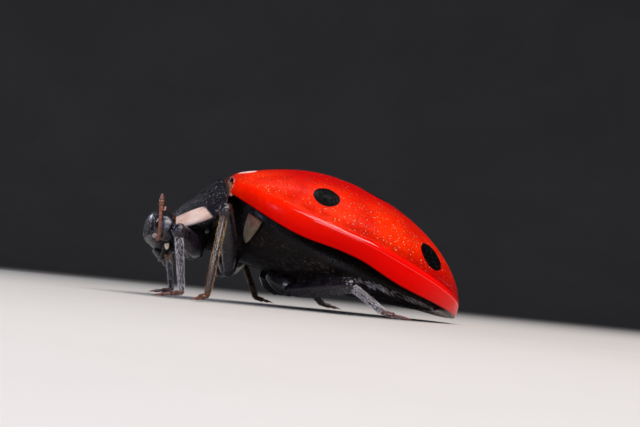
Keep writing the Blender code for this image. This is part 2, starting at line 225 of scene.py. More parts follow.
def close_seams(piece):
    """Merges what meets, fills open ends and turns the faces outwards."""
    select_only(piece)
    bpy.ops.object.mode_set(mode="EDIT")
    bpy.ops.mesh.select_mode(type="VERT")
    bpy.ops.mesh.select_all(action="SELECT")
    bpy.ops.mesh.remove_doubles(threshold=MERGE_REACH)
    bpy.ops.mesh.dissolve_degenerate(threshold=MERGE_REACH)
    bpy.ops.mesh.select_all(action="SELECT")
    bpy.ops.mesh.fill_holes(sides=0)
    bpy.ops.mesh.select_all(action="SELECT")
    bpy.ops.mesh.normals_make_consistent(inside=False)
    bpy.ops.object.mode_set(mode="OBJECT")
    bpy.ops.object.shade_smooth_by_angle(angle=math.radians(50))


def finish_piece(piece, material, slot, *nodes):
    """Gives a piece its finish, and says what it rides on and which solids it stands for."""
    piece.data.materials.clear()
    piece.data.materials.append(material)
    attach(piece, "root")
    if nodes:
        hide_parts(*nodes)


class Limb:
    """A bent line of known places, with a radius at each share of its length."""

    def __init__(self, corners, bend_radius, up, samples=90):
        line = rounded_line(corners, bend_radius)
        runs = [0.0]
        for a, b in zip(line, line[1:]):
            runs.append(runs[-1] + (b - a).length)
        self.length = runs[-1]
        self.points = [point_along(line, runs, self.length * i / samples) for i in range(samples + 1)]
        self.samples = samples
        self.frames = []
        for i in range(samples + 1):
            before, after = self.points[max(i - 1, 0)], self.points[min(i + 1, samples)]
            forward = (after - before).normalized()
            up = (up - forward * up.dot(forward)).normalized()
            self.frames.append((forward, up, forward.cross(up)))

    def at(self, share):
        """The place, and the forward, up and across directions, at that share of the length."""
        step = clamp(share) * self.samples
        low = min(int(step), self.samples - 1)
        place = self.points[low].lerp(self.points[low + 1], step - low)
        axes = [a.lerp(b, step - low).normalized() for a, b in zip(self.frames[low], self.frames[low + 1])]
        return place, axes

    def share_of(self, corner):
        """The share of the length at which the line passes nearest to a corner."""
        nearest = min(range(self.samples + 1), key=lambda i: (self.points[i] - corner).length)
        return nearest / self.samples


def rounded_line(corners, radius):
    """The line through those corners, with each corner cut round."""
    line = [corners[0]]
    for before, corner, after in zip(corners, corners[1:], corners[2:]):
        inward, onward = (before - corner), (after - corner)
        reach = min(radius, 0.45 * inward.length, 0.45 * onward.length)
        start, end = corner + inward.normalized() * reach, corner + onward.normalized() * reach
        for t in spaced(0, 1, 7):
            line.append(start.lerp(corner, t).lerp(corner.lerp(end, t), t))
    line.append(corners[-1])
    return line


def point_along(line, runs, run):
    """The place on a line after that run, where runs says how far each of its points is."""
    for i in range(1, len(runs)):
        if run <= runs[i] or i == len(runs) - 1:
            stretch = runs[i] - runs[i - 1]
            return line[i - 1].lerp(line[i], (run - runs[i - 1]) / stretch if stretch else 0)


def end_curve(run, reach):
    """The share of its full width that a rounded end has, that far from its tip."""
    return math.sqrt(1 - (1 - clamp(run / reach)) ** 2)


def limb_skin(name, limb, radius, columns, rows, ends=(0.03, 0.03), span=(0, 1)):
    """One closed skin round a limb; radius(share) gives its two half widths, up and across.

    Its ends are rounded over those lengths, it never dips below the floor, and span is its part of
    the way along the whole limb, which its own map keeps.
    """

    def place(u, v):
        share = mix(v, (1 - math.cos(math.pi * v)) / 2, 0.7)
        centre, (_, up, across) = limb.at(share)
        high, wide = radius(share)
        run = share * limb.length
        closing = end_curve(run, ends[0]) * end_curve(limb.length - run, ends[1])
        turn = 2 * math.pi * u
        point = centre + closing * (high * math.sin(turn) * up + wide * math.cos(turn) * across)
        point.z = max(point.z, 0)
        return point

    piece = shaped_sheet(name, columns, rows, place)
    for corner in piece.data.uv_layers["Surface"].data:
        corner.uv.y = mix(*span, corner.uv.y)
    return piece


def joined(name, pieces):
    """Several closed skins as one piece."""
    deselect()
    for piece in pieces:
        piece.select_set(True)
    bpy.context.view_layer.objects.active = pieces[0]
    bpy.ops.object.join()
    whole = bpy.context.object
    whole.name = whole.data.name = name
    return whole


# --- Small shapes that are modelled once and copied ----------------------------------------------------


def read_shape(piece):
    """A mesh's corners, faces and their places on its own surface, after which the piece goes."""
    corners = [v.co.copy() for v in piece.data.vertices]
    faces = [tuple(p.vertices) for p in piece.data.polygons]
    tops = max(v.z for v in corners)
    spots = [(0.5 + 0.3 * math.atan2(v.y, v.x) / math.pi, v.z / tops) for v in corners]
    bpy.data.objects.remove(piece, do_unlink=True)
    return corners, faces, spots


def tapered_horn(sides, levels, radius, curl, tip=0.12):
    """A curved cone of length 1 that stands on the origin and leans towards +X."""
    deselect()
    bpy.ops.mesh.primitive_cone_add(vertices=sides, radius1=radius, radius2=radius * tip, depth=1,
                                    end_fill_type="TRIFAN", location=(0, 0, 0.5))
    horn = bpy.context.object
    bpy.ops.object.transform_apply(location=True, rotation=True, scale=True)
    bpy.ops.object.mode_set(mode="EDIT")
    for level in spaced(0, 1, levels + 1)[1:-1]:
        bpy.ops.mesh.select_all(action="SELECT")
        bpy.ops.mesh.bisect(plane_co=(0, 0, level), plane_no=(0, 0, 1))
    bpy.ops.object.mode_set(mode="OBJECT")
    for vertex in horn.data.vertices:
        swell = 1 + 0.35 * math.sin(math.pi * clamp(vertex.co.z) ** 0.7)
        vertex.co.x = vertex.co.x * swell + curl * vertex.co.z**2
        vertex.co.y *= swell
    return read_shape(horn)


def plant(name, shape, places, roots=None):
    """Copies of a small shape joined into one mesh; each copy is a tiny patch on the coat's own map."""
    corners, faces, spots = shape
    points, polygons, marks = [], [], []
    for number, matrix in enumerate(places):
        first = len(points)
        for corner in corners:
            x, y, z = matrix @ corner
            points.append(Vector((x, y, max(z, 0))) * MM)
        polygons += [tuple(first + i for i in face) for face in faces]
        u, v = roots[number] if roots else (number / len(places), 0.5)
        marks += [(clamp(u, 0.002, 0.995) + 0.003 * a, clamp(v, 0.002, 0.995) + 0.003 * b) for a, b in spots]
    mesh = bpy.data.meshes.new(name)
    mesh.from_pydata(points, [], polygons)
    bake_map = mesh.uv_layers.new(name="OFBake")
    for loop in mesh.loops:
        bake_map.data[loop.index].uv = marks[loop.vertex_index]
    mesh.validate()
    mesh.shade_smooth()
    return placed(name, mesh)


def standing(place, out, lie, lean, length, girth=1.0):
    """Where one hair or claw stands: it leaves the skin along out, tipped towards lie by lean."""
    out, lie = out.normalized(), (lie - out * lie.dot(out)).normalized()
    along = (out * math.cos(lean) + lie * math.sin(lean)).normalized()
    towards = (out * -math.sin(lean) + lie * math.cos(lean)).normalized()
    turn = Matrix((towards, along.cross(towards), along)).transposed().to_4x4()
    size = Matrix.Diagonal((length * girth, length * girth, length, 1))
    return Matrix.Translation(place) @ turn @ size


# --- Finishes ------------------------------------------------------------------------------------------

# Inputs go by number where a node has several of one name. Math has its terms at 0, 1 and 2. MapRange has
# its value at 0, the range that comes in at 1 and 2, and the one that goes out, 0 to 1 unless it is given,
# at 3 and 4. Mix has its share at 0 and its two colours at 6 and 7. These settings are shared by many nodes.
TIMES = {"operation": "MULTIPLY"}
PLUS = {"operation": "ADD"}
MINUS = {"operation": "SUBTRACT"}
LARGER = {"operation": "MAXIMUM"}
SOFT = {"interpolation_type": "SMOOTHSTEP"}
TINTS = {"data_type": "RGBA", "out": 2}

# Pits, cells and scales to the millimetre.
SHELL_PITS = 12.0
SHIELD_PITS = 13.0
TRUNK_PITS = 14.0
NET_CELLS = 36.0
LEG_SCALES = 26.0


def linear(code):
    """An sRGB hex colour as the linear RGBA that a shader takes."""
    channels = [int(code[i : i + 2], 16) / 255 for i in (1, 3, 5)]
    return (*[c / 12.92 if c <= 0.04045 else ((c + 0.055) / 1.055) ** 2.4 for c in channels], 1)


def add(tree, kind, inputs=None, out=0, **settings):
    """Adds one node with its settings; each input takes a value or another node's output."""
    made = tree.nodes.new(f"ShaderNode{kind}")
    for name, value in settings.items():
        setattr(made, name, value)
    for socket, value in (inputs or {}).items():
        if isinstance(value, bpy.types.NodeSocket):
            tree.links.new(value, made.inputs[socket])
        else:
            made.inputs[socket].default_value = value
    return made.outputs[out]


def start_finish(name, **constants):
    """A material, its tree and its shader, with the values that are the same all over."""
    material = bpy.data.materials.new(name)
    material.use_nodes = True
    tree = material.node_tree
    shader = tree.nodes["Principled BSDF"]
    for socket, value in constants.items():
        shader.inputs[socket.replace("_", " ").title().replace("Ior", "IOR")].default_value = value
    return material, tree, shader


def connect(tree, shader, **sockets):
    for name, source in sockets.items():
        tree.links.new(source, shader.inputs[name.replace("_", " ").title()])


def cloudy(here, per_mm, detail=3.0):
    """What a noise node needs for soft clouds, that many to the millimetre."""
    return {"Vector": here, "Scale": per_mm, "Detail": detail, "Roughness": 0.55}


def in_millimetres(tree):
    """The place on the piece, in millimetres."""
    here = add(tree, "TexCoord", out="Object")
    return add(tree, "VectorMath", {0: here, "Scale": 1 / MM}, operation="SCALE")


def parts_of(tree, here):
    """The x, y and z of a place, with y the same on both sides."""
    split = add(tree, "SeparateXYZ", {0: here}).node
    sideways = add(tree, "Math", {0: split.outputs[1]}, operation="ABSOLUTE")
    return split.outputs[0], sideways, split.outputs[2]


def in_own_frame(tree, base, tilt):
    """The place on the piece seen from a region's own frame, in millimetres, with both sides alike."""
    x, y, z = parts_of(tree, in_millimetres(tree))
    both_sides = add(tree, "CombineXYZ", {0: x, 1: y, 2: z})
    settings = {"Vector": both_sides, "Location": base, "Rotation": (0, tilt, 0)}
    return add(tree, "Mapping", settings, vector_type="TEXTURE")


def clouds(tree, here, per_mm, low=0.0, high=1.0, reach=(0.3, 0.7), detail=3.0):
    """A value that drifts between low and high in soft clouds, that many to the millimetre."""
    mist = add(tree, "TexNoise", cloudy(here, per_mm, detail))
    return add(tree, "MapRange", {0: mist, 1: reach[0], 2: reach[1], 3: low, 4: high}, **SOFT)


def two_tone(tree, here, per_mm, first, second, reach=(0.3, 0.7)):
    """One colour in soft clouds over another."""
    share = clouds(tree, here, per_mm, reach=reach)
    return add(tree, "Mix", {0: share, 6: linear(first), 7: linear(second)}, **TINTS)


def wander(tree, here, per_mm, width, detail=3.0):
    """How far a border strays, up to that width."""
    mist = add(tree, "TexNoise", cloudy(here, per_mm, detail))
    return add(tree, "Math", {0: mist, 1: width}, **TIMES)


def lumpy_skin(tree, here, per_mm, depth_mm, detail=3.0, **below):
    """The normal of a skin with soft lumps of that size and depth, over the one given as Normal."""
    lumps = add(tree, "TexNoise", cloudy(here, per_mm, detail))
    return add(tree, "Bump", {"Height": lumps, "Distance": depth_mm * MM, **below})


def pits(tree, here, per_mm, width=0.42):
    """0 in the middle of each pit, 1 on the skin between them."""
    inputs = {"Vector": here, "Scale": per_mm, "Randomness": 0.85}
    distance = add(tree, "TexVoronoi", inputs, out="Distance")
    return add(tree, "MapRange", {0: distance, 1: 0.05, 2: width}, **SOFT)


def patch(tree, here, centre, radii, soft):
    """1 inside an oval with a slightly uneven edge, 0 outside it."""
    settings = {"Vector": here, "Location": centre, "Scale": radii}
    around = add(tree, "Mapping", settings, vector_type="TEXTURE")
    reach = add(tree, "VectorMath", {0: around}, out="Value", operation="LENGTH")
    reach = add(tree, "Math", {0: reach, 1: wander(tree, here, 5.0, 0.16, 1.0)}, **PLUS)
    return add(tree, "MapRange", {0: reach, 1: 1.08 + soft, 2: 1.08 - soft}, **SOFT)


def painted_orange_glow(tree, here):
    """Painted light: how orange the red turns where light falls, most on the flanks, in clouds, and less
    towards the tail.
    """
    length, _, height = parts_of(tree, here)
    above = add(tree, "MapRange", {0: height, 1: 0.35, 2: 0.95}, **SOFT)
    below = add(tree, "MapRange", {0: height, 1: 1.75, 2: 1.25}, **SOFT)
    painted_glow = add(tree, "Math", {0: above, 1: below}, **TIMES)
    painted_glow = add(tree, "Math", {0: painted_glow, 1: clouds(tree, here, 1.1, 0.25, 1.0, (0.32, 0.66), 4.0)}, **TIMES)
    painted_glow = add(tree, "Math", {0: painted_glow, 1: clouds(tree, here, 16.0, 0.6, 1.0, detail=2.0)}, **TIMES)
    fading = add(tree, "MapRange", {0: length, 1: 2.8, 2: 5.0, 3: 1.0, 4: 0.6}, **SOFT)
    return add(tree, "Math", {0: painted_glow, 1: fading}, **TIMES)


def shell_spots(tree, here):
    """1 on the black spots of the wing cases."""
    spots = 0.0
    for centre, radii in SHELL_SPOTS:
        spots = add(tree, "Math", {0: patch(tree, here, centre, radii, 0.035), 1: spots}, **LARGER)
    return spots


def raised_edge(tree, around, length):
    """1 along the bright line where a wing case's dome turns down into its rim."""
    upper = add(tree, "MapRange", {0: around, 1: DOME_END - 0.085, 2: DOME_END - 0.065}, **SOFT)
    lower = add(tree, "MapRange", {0: around, 1: DOME_END + 0.05, 2: DOME_END + 0.035}, **SOFT)
    behind_shoulder = add(tree, "MapRange", {0: length, 1: 1.0, 2: 1.8}, **SOFT)
    line = add(tree, "Math", {0: upper, 1: lower}, **TIMES)
    return add(tree, "Math", {0: line, 1: behind_shoulder}, **TIMES)


def waxed_red_chitin():
    """Wing cases: waxed red chitin, sparkling where it is pitted and grained, and smooth along the rim.

    The real skin has an estimated 60 pits to the millimetre; they are drawn at 12, so that their sparkle
    shows. The wax is drawn thin in front and thicker towards the tail. The colour also holds painted light: an
    orange glow on the flanks, pale glints in the pits and a brighter rim, with painted shade on the inside.
    """
    material, tree, shader = start_finish(
        "waxed_red_chitin", ior=1.54, specular_ior_level=0.02, coat_roughness=0.07,
        subsurface_weight=0.06, subsurface_scale=0.15 * MM)
    here = in_own_frame(tree, BODY_BASE, BODY_PITCH)
    length = parts_of(tree, here)[0]
    surface = add(tree, "UVMap", out="UV", uv_map="Surface")
    around = add(tree, "SeparateXYZ", {0: surface})
    rim = add(tree, "MapRange", {0: around, 1: DOME_END - 0.1, 2: DOME_END - 0.07}, **SOFT)
    painted_glow = painted_orange_glow(tree, here)
    spots = shell_spots(tree, here)

    # Painted light: the red turns orange where the painted glow lies on the flanks.
    colour = add(tree, "Mix", {0: painted_glow, 6: linear("#AA0100"), 7: linear("#E62E04")}, **TINTS)
    # Painted light: the rim band is painted a brighter red, more so towards the tail.
    tailwards = add(tree, "MapRange", {0: length, 1: 1.5, 2: 5.5, 3: 0.5, 4: 1.0}, **SOFT)
    painted_rim_light = add(tree, "Math", {0: rim, 1: tailwards}, **TIMES)
    colour = add(tree, "Mix", {0: painted_rim_light, 6: colour, 7: linear("#E80400")}, **TINTS)
    # Painted shade: the inside, past the rim and round the lip, is painted dark red.
    within = add(tree, "MapRange", {0: around, 1: RIM_END, 2: LIP_END}, **SOFT)
    colour = add(tree, "Mix", {0: within, 6: colour, 7: linear("#5A0604")}, **TINTS)
    cream = patch(tree, here, (0.27, 0.78, 1.38), (0.2, 0.2, 0.2), 0.2)
    cream = add(tree, "Math", {0: cream, 1: clouds(tree, here, 6.0, 0.45, 1.0, (0.25, 0.55))}, **TIMES)
    colour = add(tree, "Mix", {0: cream, 6: colour, 7: linear("#E2BDB6")}, **TINTS)
    colour = add(tree, "Mix", {0: spots, 6: colour, 7: linear("#050404")}, **TINTS)

    pitted = add(tree, "Math", {0: pits(tree, here, SHELL_PITS), 1: rim}, **LARGER)
    hollow = add(tree, "Math", {0: 1.0, 1: pitted}, **MINUS)
    red_only = add(tree, "Math", {0: 1.0, 1: spots}, **MINUS)
    # Painted highlight: the pits are painted paler orange, as glints, where the painted glow lies, and not in
    # the black spots.
    bright = add(tree, "MapRange", {0: hollow, 1: 0.3, 2: 0.9}, **SOFT)
    bright = add(tree, "Math", {0: bright, 1: red_only}, **TIMES)
    painted_glow_in_pits = add(tree, "Math", {0: painted_glow, 1: 0.72}, **TIMES)
    bright = add(tree, "Math", {0: bright, 1: painted_glow_in_pits}, **TIMES)
    colour = add(tree, "Mix", {0: bright, 6: colour, 7: linear("#FF9860")}, **TINTS)

    swells = lumpy_skin(tree, here, 2.0, 0.003, 1.0)
    skin = add(tree, "Bump", {"Height": pitted, "Distance": 0.02 * MM, "Normal": swells})
    smoother = add(tree, "Math", {0: rim, 1: 0.1}, **TIMES)
    shine = add(tree, "Math", {0: clouds(tree, here, 5.0, 0.3, 0.42), 1: smoother}, **MINUS)
    dulled = add(tree, "Math", {0: spots, 1: 0.55}, **TIMES)
    glossy = add(tree, "Math", {0: 1.0, 1: dulled}, **MINUS)
    glint = add(tree, "Math", {0: hollow, 1: glossy}, **TIMES)
    thin_wax = add(tree, "MapRange", {0: length, 1: 3.9, 2: 5.2, 3: 0.015, 4: 0.3}, **SOFT)
    wax = add(tree, "MapRange", {0: glint, 1: 0.3, 2: 0.8, 3: thin_wax, 4: 1.0}, **SOFT)
    wax = add(tree, "Math", {0: wax, 1: raised_edge(tree, around, length)}, **LARGER)
    connect(tree, shader, base_color=colour, roughness=shine, normal=skin,
            coat_weight=wax, coat_normal=skin)
    return material


def netted_black_chitin(name, base, tilt, pale_patches=None, pale="#B8988A"):
    """Back shield, head, mouth and scutellum: black chitin whose gloss sparkles over fine pits and a net.

    Any marks are cream. The real net has an estimated 60 cells to the millimetre; it is drawn at 36, so
    that it still shows.
    """
    material, tree, shader = start_finish(name, ior=1.54, specular_ior_level=0.08, coat_roughness=0.07)
    here = in_own_frame(tree, base, tilt)
    light = pale_patches(tree, here) if pale_patches else 0.0
    black = two_tone(tree, here, 3.0, "#050406", "#100D14")
    cream = two_tone(tree, here, 2.2, pale, "#B8988A", (0.35, 0.7))
    colour = add(tree, "Mix", {0: light, 6: black, 7: cream}, **TINTS)

    cells = {"Vector": here, "Scale": NET_CELLS, "Randomness": 0.8}
    walls = add(tree, "TexVoronoi", cells, out="Distance", feature="DISTANCE_TO_EDGE")
    net = add(tree, "MapRange", {0: walls, 1: 0.02, 2: 0.16, 3: 1.0, 4: 0.0}, **SOFT)
    fainter = add(tree, "MapRange", {0: light, 1: 0.0, 2: 1.0, 3: 1.0, 4: 0.2}, **SOFT)
    net = add(tree, "Math", {0: net, 1: fainter}, **TIMES)
    pitted = add(tree, "Math", {0: pits(tree, here, SHIELD_PITS, 0.36), 1: light}, **LARGER)
    swells = lumpy_skin(tree, here, 4.0, 0.01, 2.0)
    dents = add(tree, "Bump", {"Height": pitted, "Distance": 0.026 * MM, "Normal": swells})
    skin = add(tree, "Bump", {"Height": net, "Distance": 0.002 * MM, "Normal": dents})

    duller = add(tree, "Math", {0: light, 1: 0.12}, **TIMES)
    shine = add(tree, "Math", {0: clouds(tree, here, 7.0, 0.26, 0.42), 1: duller}, **PLUS)
    gloss = add(tree, "MapRange", {0: pitted, 1: 0.2, 2: 1.0, 3: 1.0, 4: 0.22}, **SOFT)
    connect(tree, shader, base_color=colour, roughness=shine, normal=skin,
            coat_weight=gloss, coat_normal=dents)
    return material


def shield_corners(tree, here):
    """The cream front corners of the back shield, which wrap round its side edges."""
    x, y, z = parts_of(tree, here)
    uneven = wander(tree, here, 4.0, 0.06)
    inner_border = add(tree, "Math", {0: x, 1: 0.85, 2: 1.96}, operation="MULTIPLY_ADD")
    beyond = add(tree, "Math", {0: y, 1: inner_border}, **MINUS)
    beyond = add(tree, "Math", {0: beyond, 1: uneven}, **PLUS)
    inside = add(tree, "MapRange", {0: beyond, 1: 0.015, 2: 0.045}, **SOFT)
    forwards = add(tree, "Math", {0: uneven, 1: x}, **MINUS)
    ahead = add(tree, "MapRange", {0: forwards, 1: 0.82, 2: 0.88}, **SOFT)
    squared = add(tree, "Math", {0: y, 1: y}, **TIMES)
    above_edge = {0: squared, 1: SHIELD_ARCH / SHIELD_HALF_WIDTH**2, 2: z}
    flattened = add(tree, "Math", above_edge, operation="MULTIPLY_ADD")
    upper = add(tree, "MapRange", {0: flattened, 1: -0.14, 2: -0.08}, **SOFT)
    corner = add(tree, "Math", {0: inside, 1: ahead}, **TIMES)
    return add(tree, "Math", {0: corner, 1: upper}, **TIMES)


def face_spots(tree, here):
    """Two pale spots on the forehead, one beside each eye."""
    return patch(tree, here, (-0.19, 0.82, -0.05), (0.07, 0.1, 0.055), 0.25)


def jaw_spots(tree, here):
    """The cream outer side of each jaw's root."""
    return patch(tree, here, (0.05, 0.82, -0.24), (0.056, 0.16, 0.135), 0.12)


def lens_black():
    """Compound eyes: clear lenses over black, with a blue-violet shade in their gloss."""
    material, tree, shader = start_finish("black_lens_cuticle", ior=1.5, coat_weight=0.9, coat_roughness=0.08)
    here = in_millimetres(tree)
    colour = two_tone(tree, here, 3.0, "#06060B", "#12122A", (0.35, 0.65))
    connect(tree, shader, base_color=colour, roughness=clouds(tree, here, 12.0, 0.12, 0.22),
            normal=lumpy_skin(tree, here, 30.0, 0.001, 1.0))
    return material


def amber_horn(name, root, tip, darkens_from):
    """Feelers, palps and lower lip: thin brown horn, a little see-through, darker towards the tip."""
    material, tree, shader = start_finish(
        name, ior=1.54, coat_weight=0.3, coat_roughness=0.2, subsurface_weight=0.15,
        subsurface_scale=0.05 * MM)
    here = in_millimetres(tree)
    surface = add(tree, "UVMap", out="UV", uv_map="Surface")
    along = add(tree, "SeparateXYZ", {0: surface}, out=1)
    reach = add(tree, "Math", {0: along, 1: wander(tree, here, 9.0, 0.3)}, **PLUS)
    outer = add(tree, "MapRange", {0: reach, 1: darkens_from + 0.15, 2: 1.15}, **SOFT)
    colour = add(tree, "Mix", {0: outer, 6: linear(root), 7: linear(tip)}, **TINTS)
    mottle = clouds(tree, here, 7.0, 0.0, 0.5, (0.35, 0.65), 2.0)
    colour = add(tree, "Mix", {0: mottle, 6: colour, 7: linear(tip)}, **TINTS)
    connect(tree, shader, base_color=colour, roughness=clouds(tree, here, 20.0, 0.3, 0.5),
            normal=lumpy_skin(tree, here, 40.0, 0.003))
    return material


def leg_chitin():
    """Legs: purplish black chitin, finely scaled, that turns to reddish brown on the feet."""
    material, tree, shader = start_finish(
        "scaled_black_chitin", ior=1.56, specular_ior_level=0.25, coat_weight=0.45, coat_roughness=0.14)
    here = in_millimetres(tree)
    surface = add(tree, "UVMap", out="UV", uv_map="Surface")
    along = add(tree, "SeparateXYZ", {0: surface}, out=1)
    foot = add(tree, "MapRange", {0: along, 1: 0.79, 2: 0.86}, **SOFT)
    black = two_tone(tree, here, 3.5, "#0B080B", "#1E151F")
    colour = add(tree, "Mix", {0: foot, 6: black, 7: linear("#4A2618")}, **TINTS)
    scales = add(tree, "TexVoronoi", {"Vector": here, "Scale": LEG_SCALES}, out="Distance")
    swells = lumpy_skin(tree, here, 5.0, 0.005, 1.0)
    skin = add(tree, "Bump", {"Height": scales, "Distance": 0.005 * MM, "Normal": swells})
    connect(tree, shader, base_color=colour, roughness=clouds(tree, here, 9.0, 0.24, 0.4), normal=skin)
    return material


def trunk_chitin():
    """Underside: black-brown chitin, duller than the back and closely pitted."""
    material, tree, shader = start_finish("pitted_brown_black_chitin", ior=1.5, specular_ior_level=0.12,
                                          coat_weight=0.04, coat_roughness=0.2)
    here = in_millimetres(tree)
    colour = two_tone(tree, here, 2.0, "#060404", "#120B08", (0.35, 0.7))
    swells = lumpy_skin(tree, here, 5.0, 0.02)
    skin = add(tree, "Bump", {"Height": pits(tree, here, TRUNK_PITS), "Distance": 0.01 * MM, "Normal": swells})
    connect(tree, shader, base_color=colour, roughness=clouds(tree, here, 6.0, 0.38, 0.6), normal=skin)
    return material


def pale_side_chitin():
    """Side plates: cream chitin with a velvety skin, painted dim as shade under the wing case, and painted
    darker orange-brown as shade at the top, where it meets the wing case.
    """
    material, tree, shader = start_finish("velvety_cream_chitin", ior=1.5, sheen_weight=0.2,
                                          subsurface_weight=0.1, subsurface_scale=0.1 * MM)
    settings = {"Vector": in_millimetres(tree), "Location": BODY_BASE, "Rotation": (0, BODY_PITCH, 0)}
    here = add(tree, "Mapping", settings, vector_type="TEXTURE")
    height = add(tree, "SeparateXYZ", {0: here}, out=2)
    reach = add(tree, "Math", {0: height, 1: wander(tree, here, 4.0, 0.3)}, **PLUS)
    # Painted shade: the cream is painted dim brown, and its upper part darker orange-brown, as it lies in
    # shade under the wing case.
    upper = add(tree, "MapRange", {0: reach, 1: 0.28, 2: 0.62}, **SOFT)
    cream = two_tone(tree, here, 6.0, "#6E5E4B", "#4C3F30")
    colour = add(tree, "Mix", {0: upper, 6: cream, 7: linear("#582A12")}, **TINTS)
    skin = lumpy_skin(tree, here, 30.0, 0.006, Normal=lumpy_skin(tree, here, 6.0, 0.012))
    connect(tree, shader, base_color=colour, roughness=clouds(tree, here, 12.0, 0.45, 0.65), normal=skin)
    return material


def joint_membrane(name, dark, light):
    """The soft skin between plates: thin, wrinkled across, with painted shade in the troughs of the wrinkles,
    and amber where light comes through.
    """
    material, tree, shader = start_finish(name, ior=1.45, subsurface_weight=0.3, subsurface_scale=0.1 * MM,
                                          coat_weight=0.2, coat_roughness=0.3)
    here = in_millimetres(tree)
    folds = {"Vector": here, "Scale": 1.4, "Distortion": 4.0, "Detail": 3.0}
    wrinkles = add(tree, "TexWave", folds, out="Fac")
    mist = add(tree, "TexNoise", cloudy(here, 4.0))
    # Painted light and shade: the colour is darkest in the troughs of the wrinkles and lightest on their
    # crests, in clouds.
    shade = add(tree, "Math", {0: wrinkles, 1: mist}, **TIMES)
    share = add(tree, "MapRange", {0: shade, 1: 0.1, 2: 0.6}, **SOFT)
    colour = add(tree, "Mix", {0: share, 6: linear(dark), 7: linear(light)}, **TINTS)
    skin = add(tree, "Bump", {"Height": wrinkles, "Distance": 0.015 * MM})
    connect(tree, shader, base_color=colour, roughness=clouds(tree, here, 10.0, 0.35, 0.55), normal=skin)
    return material


def bristle_horn(name, root, tip):
    """Hairs and claws: thin horn, browner in places."""
    material, tree, shader = start_finish(name, ior=1.54, coat_weight=0.2, coat_roughness=0.3)
    here = in_millimetres(tree)
    colour = two_tone(tree, here, 2.5, root, tip, (0.35, 0.65))
    connect(tree, shader, base_color=colour, roughness=clouds(tree, here, 12.0, 0.3, 0.5),
            normal=lumpy_skin(tree, here, 60.0, 0.001))
    return material


def matt_paint():
    """The floor: a board under matt off-white paint, with a faint roller texture."""
    material, tree, shader = start_finish("matt_off_white_paint")
    here = in_millimetres(tree)
    colour = two_tone(tree, here, 0.05, "#B8B6B2", "#B0AEAA")
    connect(tree, shader, base_color=colour, roughness=clouds(tree, here, 0.4, 0.7, 0.85),
            normal=lumpy_skin(tree, here, 1.5, 0.004, 2.0))
    return material


# --- Wing cases ----------------------------------------------------------------------------------------

# Shares of the way round a wing case's section: over the dome, down the rim, round the lip and in.
DOME_END = 0.58
RIM_END = 0.74
LIP_END = 0.79
SHELF_END = 0.86
CLOSING = 0.99
LIP_RADIUS = 0.04
SHELF_TURN = 0.2
# Each spot's middle and radii; both wing cases share them, and meet in the last one.
SHELL_SPOTS = (
    ((1.78, 2.26, 1.24), (0.285, 0.3, 0.285)),
    ((3.0, 0.98, 1.82), (0.36, 0.34, 0.4)),
    ((4.42, 1.95, 0.88), (0.37, 0.33, 0.31)),
    ((0.72, 0.0, 1.58), (0.34, 0.3, 0.4)),
)


# A wing case's own measures at station x, which runs from its front edge to its tail.


def shell_half_width(x):
    if x < WIDEST_X:
        narrowing = SHOULDER_NARROWING * ((WIDEST_X - x) / WIDEST_X) ** SHOULDER_POWER
        return SHELL_HALF_WIDTH * (1 - narrowing) ** SHOULDER_ROUNDING
    back = min((x - WIDEST_X) / (SHELL_LENGTH - WIDEST_X), 1)
    return SHELL_HALF_WIDTH * math.sqrt(1 - back**TAIL_POWER)


def shell_margin(x):
    rise = SHOULDER_RISE * max(1 - x / SHOULDER_END, 0) ** 1.5
    return rise - APEX_DROOP * clamp((x - SHOULDER_END) / (SHELL_LENGTH - SHOULDER_END)) ** 2


def shell_crest(x):
    if x < HIGHEST_X:
        climb = math.sin(max(x, 0) / HIGHEST_X * math.pi / 2) ** CLIMB_POWER
        return SHELL_FRONT_HEIGHT + (SHELL_HEIGHT - SHELL_FRONT_HEIGHT) * climb
    back = min((x - HIGHEST_X) / (SHELL_LENGTH - HIGHEST_X), 1)
    return max(SHELL_HEIGHT * (1 - back**DESCENT_POWER) ** DESCENT_ROUNDING, shell_margin(x))


def lip_rise(x):
    """How much higher than the solid's the finished lower edge runs, where it bends upwards."""
    return EDGE_BEND * bump((x - EDGE_BEND_X) / EDGE_BEND_REACH)


def wall_at(x):
    """The wall's thickness, which is less right at the front."""
    return FRONT_WALL + (WALL - FRONT_WALL) * clamp(x)


def outer_station(x):
    """The station on the outside that belongs to one inside the hollow."""
    return clamp(max(x, 0) * SHELL_LENGTH / (SHELL_LENGTH - WALL), 0, SHELL_LENGTH)


def cavity_half_width(x):
    station = outer_station(x)
    width = shell_half_width(station)
    if station < WIDEST_X:
        return width - wall_at(station)
    return width * (SHELL_HALF_WIDTH - WALL) / SHELL_HALF_WIDTH


def cavity_crest(x):
    station = outer_station(x)
    crest, margin = shell_crest(station), shell_margin(station)
    if station < HIGHEST_X:
        return crest - wall_at(station)
    return margin + (crest - margin) * (SHELL_HEIGHT - WALL) / SHELL_HEIGHT


def seam(x):
    """How far the inner edge keeps from the middle line, with room for the scutellum."""
    return SEAM_HALF_GAP + (SCUTELLUM_HALF_WIDTH + GAP) * max(1 - x / (SCUTELLUM_LENGTH + GAP), 0)


def turn_at_height(share):
    """The turn, from the margin up, at which an arch has that share of its rise."""
    return math.asin(clamp(share) ** (1 / ARCH_TOP_POWER))


def arch(half, crest, margin, edge, turn):
    """A place in section (y, z) on an arch from the margin, at turn 0, up to the crest by the seam."""
    y = edge + max(half - edge, 0) * max(math.cos(turn), 0) ** ARCH_SIDE_POWER
    return Vector((y, margin + (crest - margin) * math.sin(turn) ** ARCH_TOP_POWER))


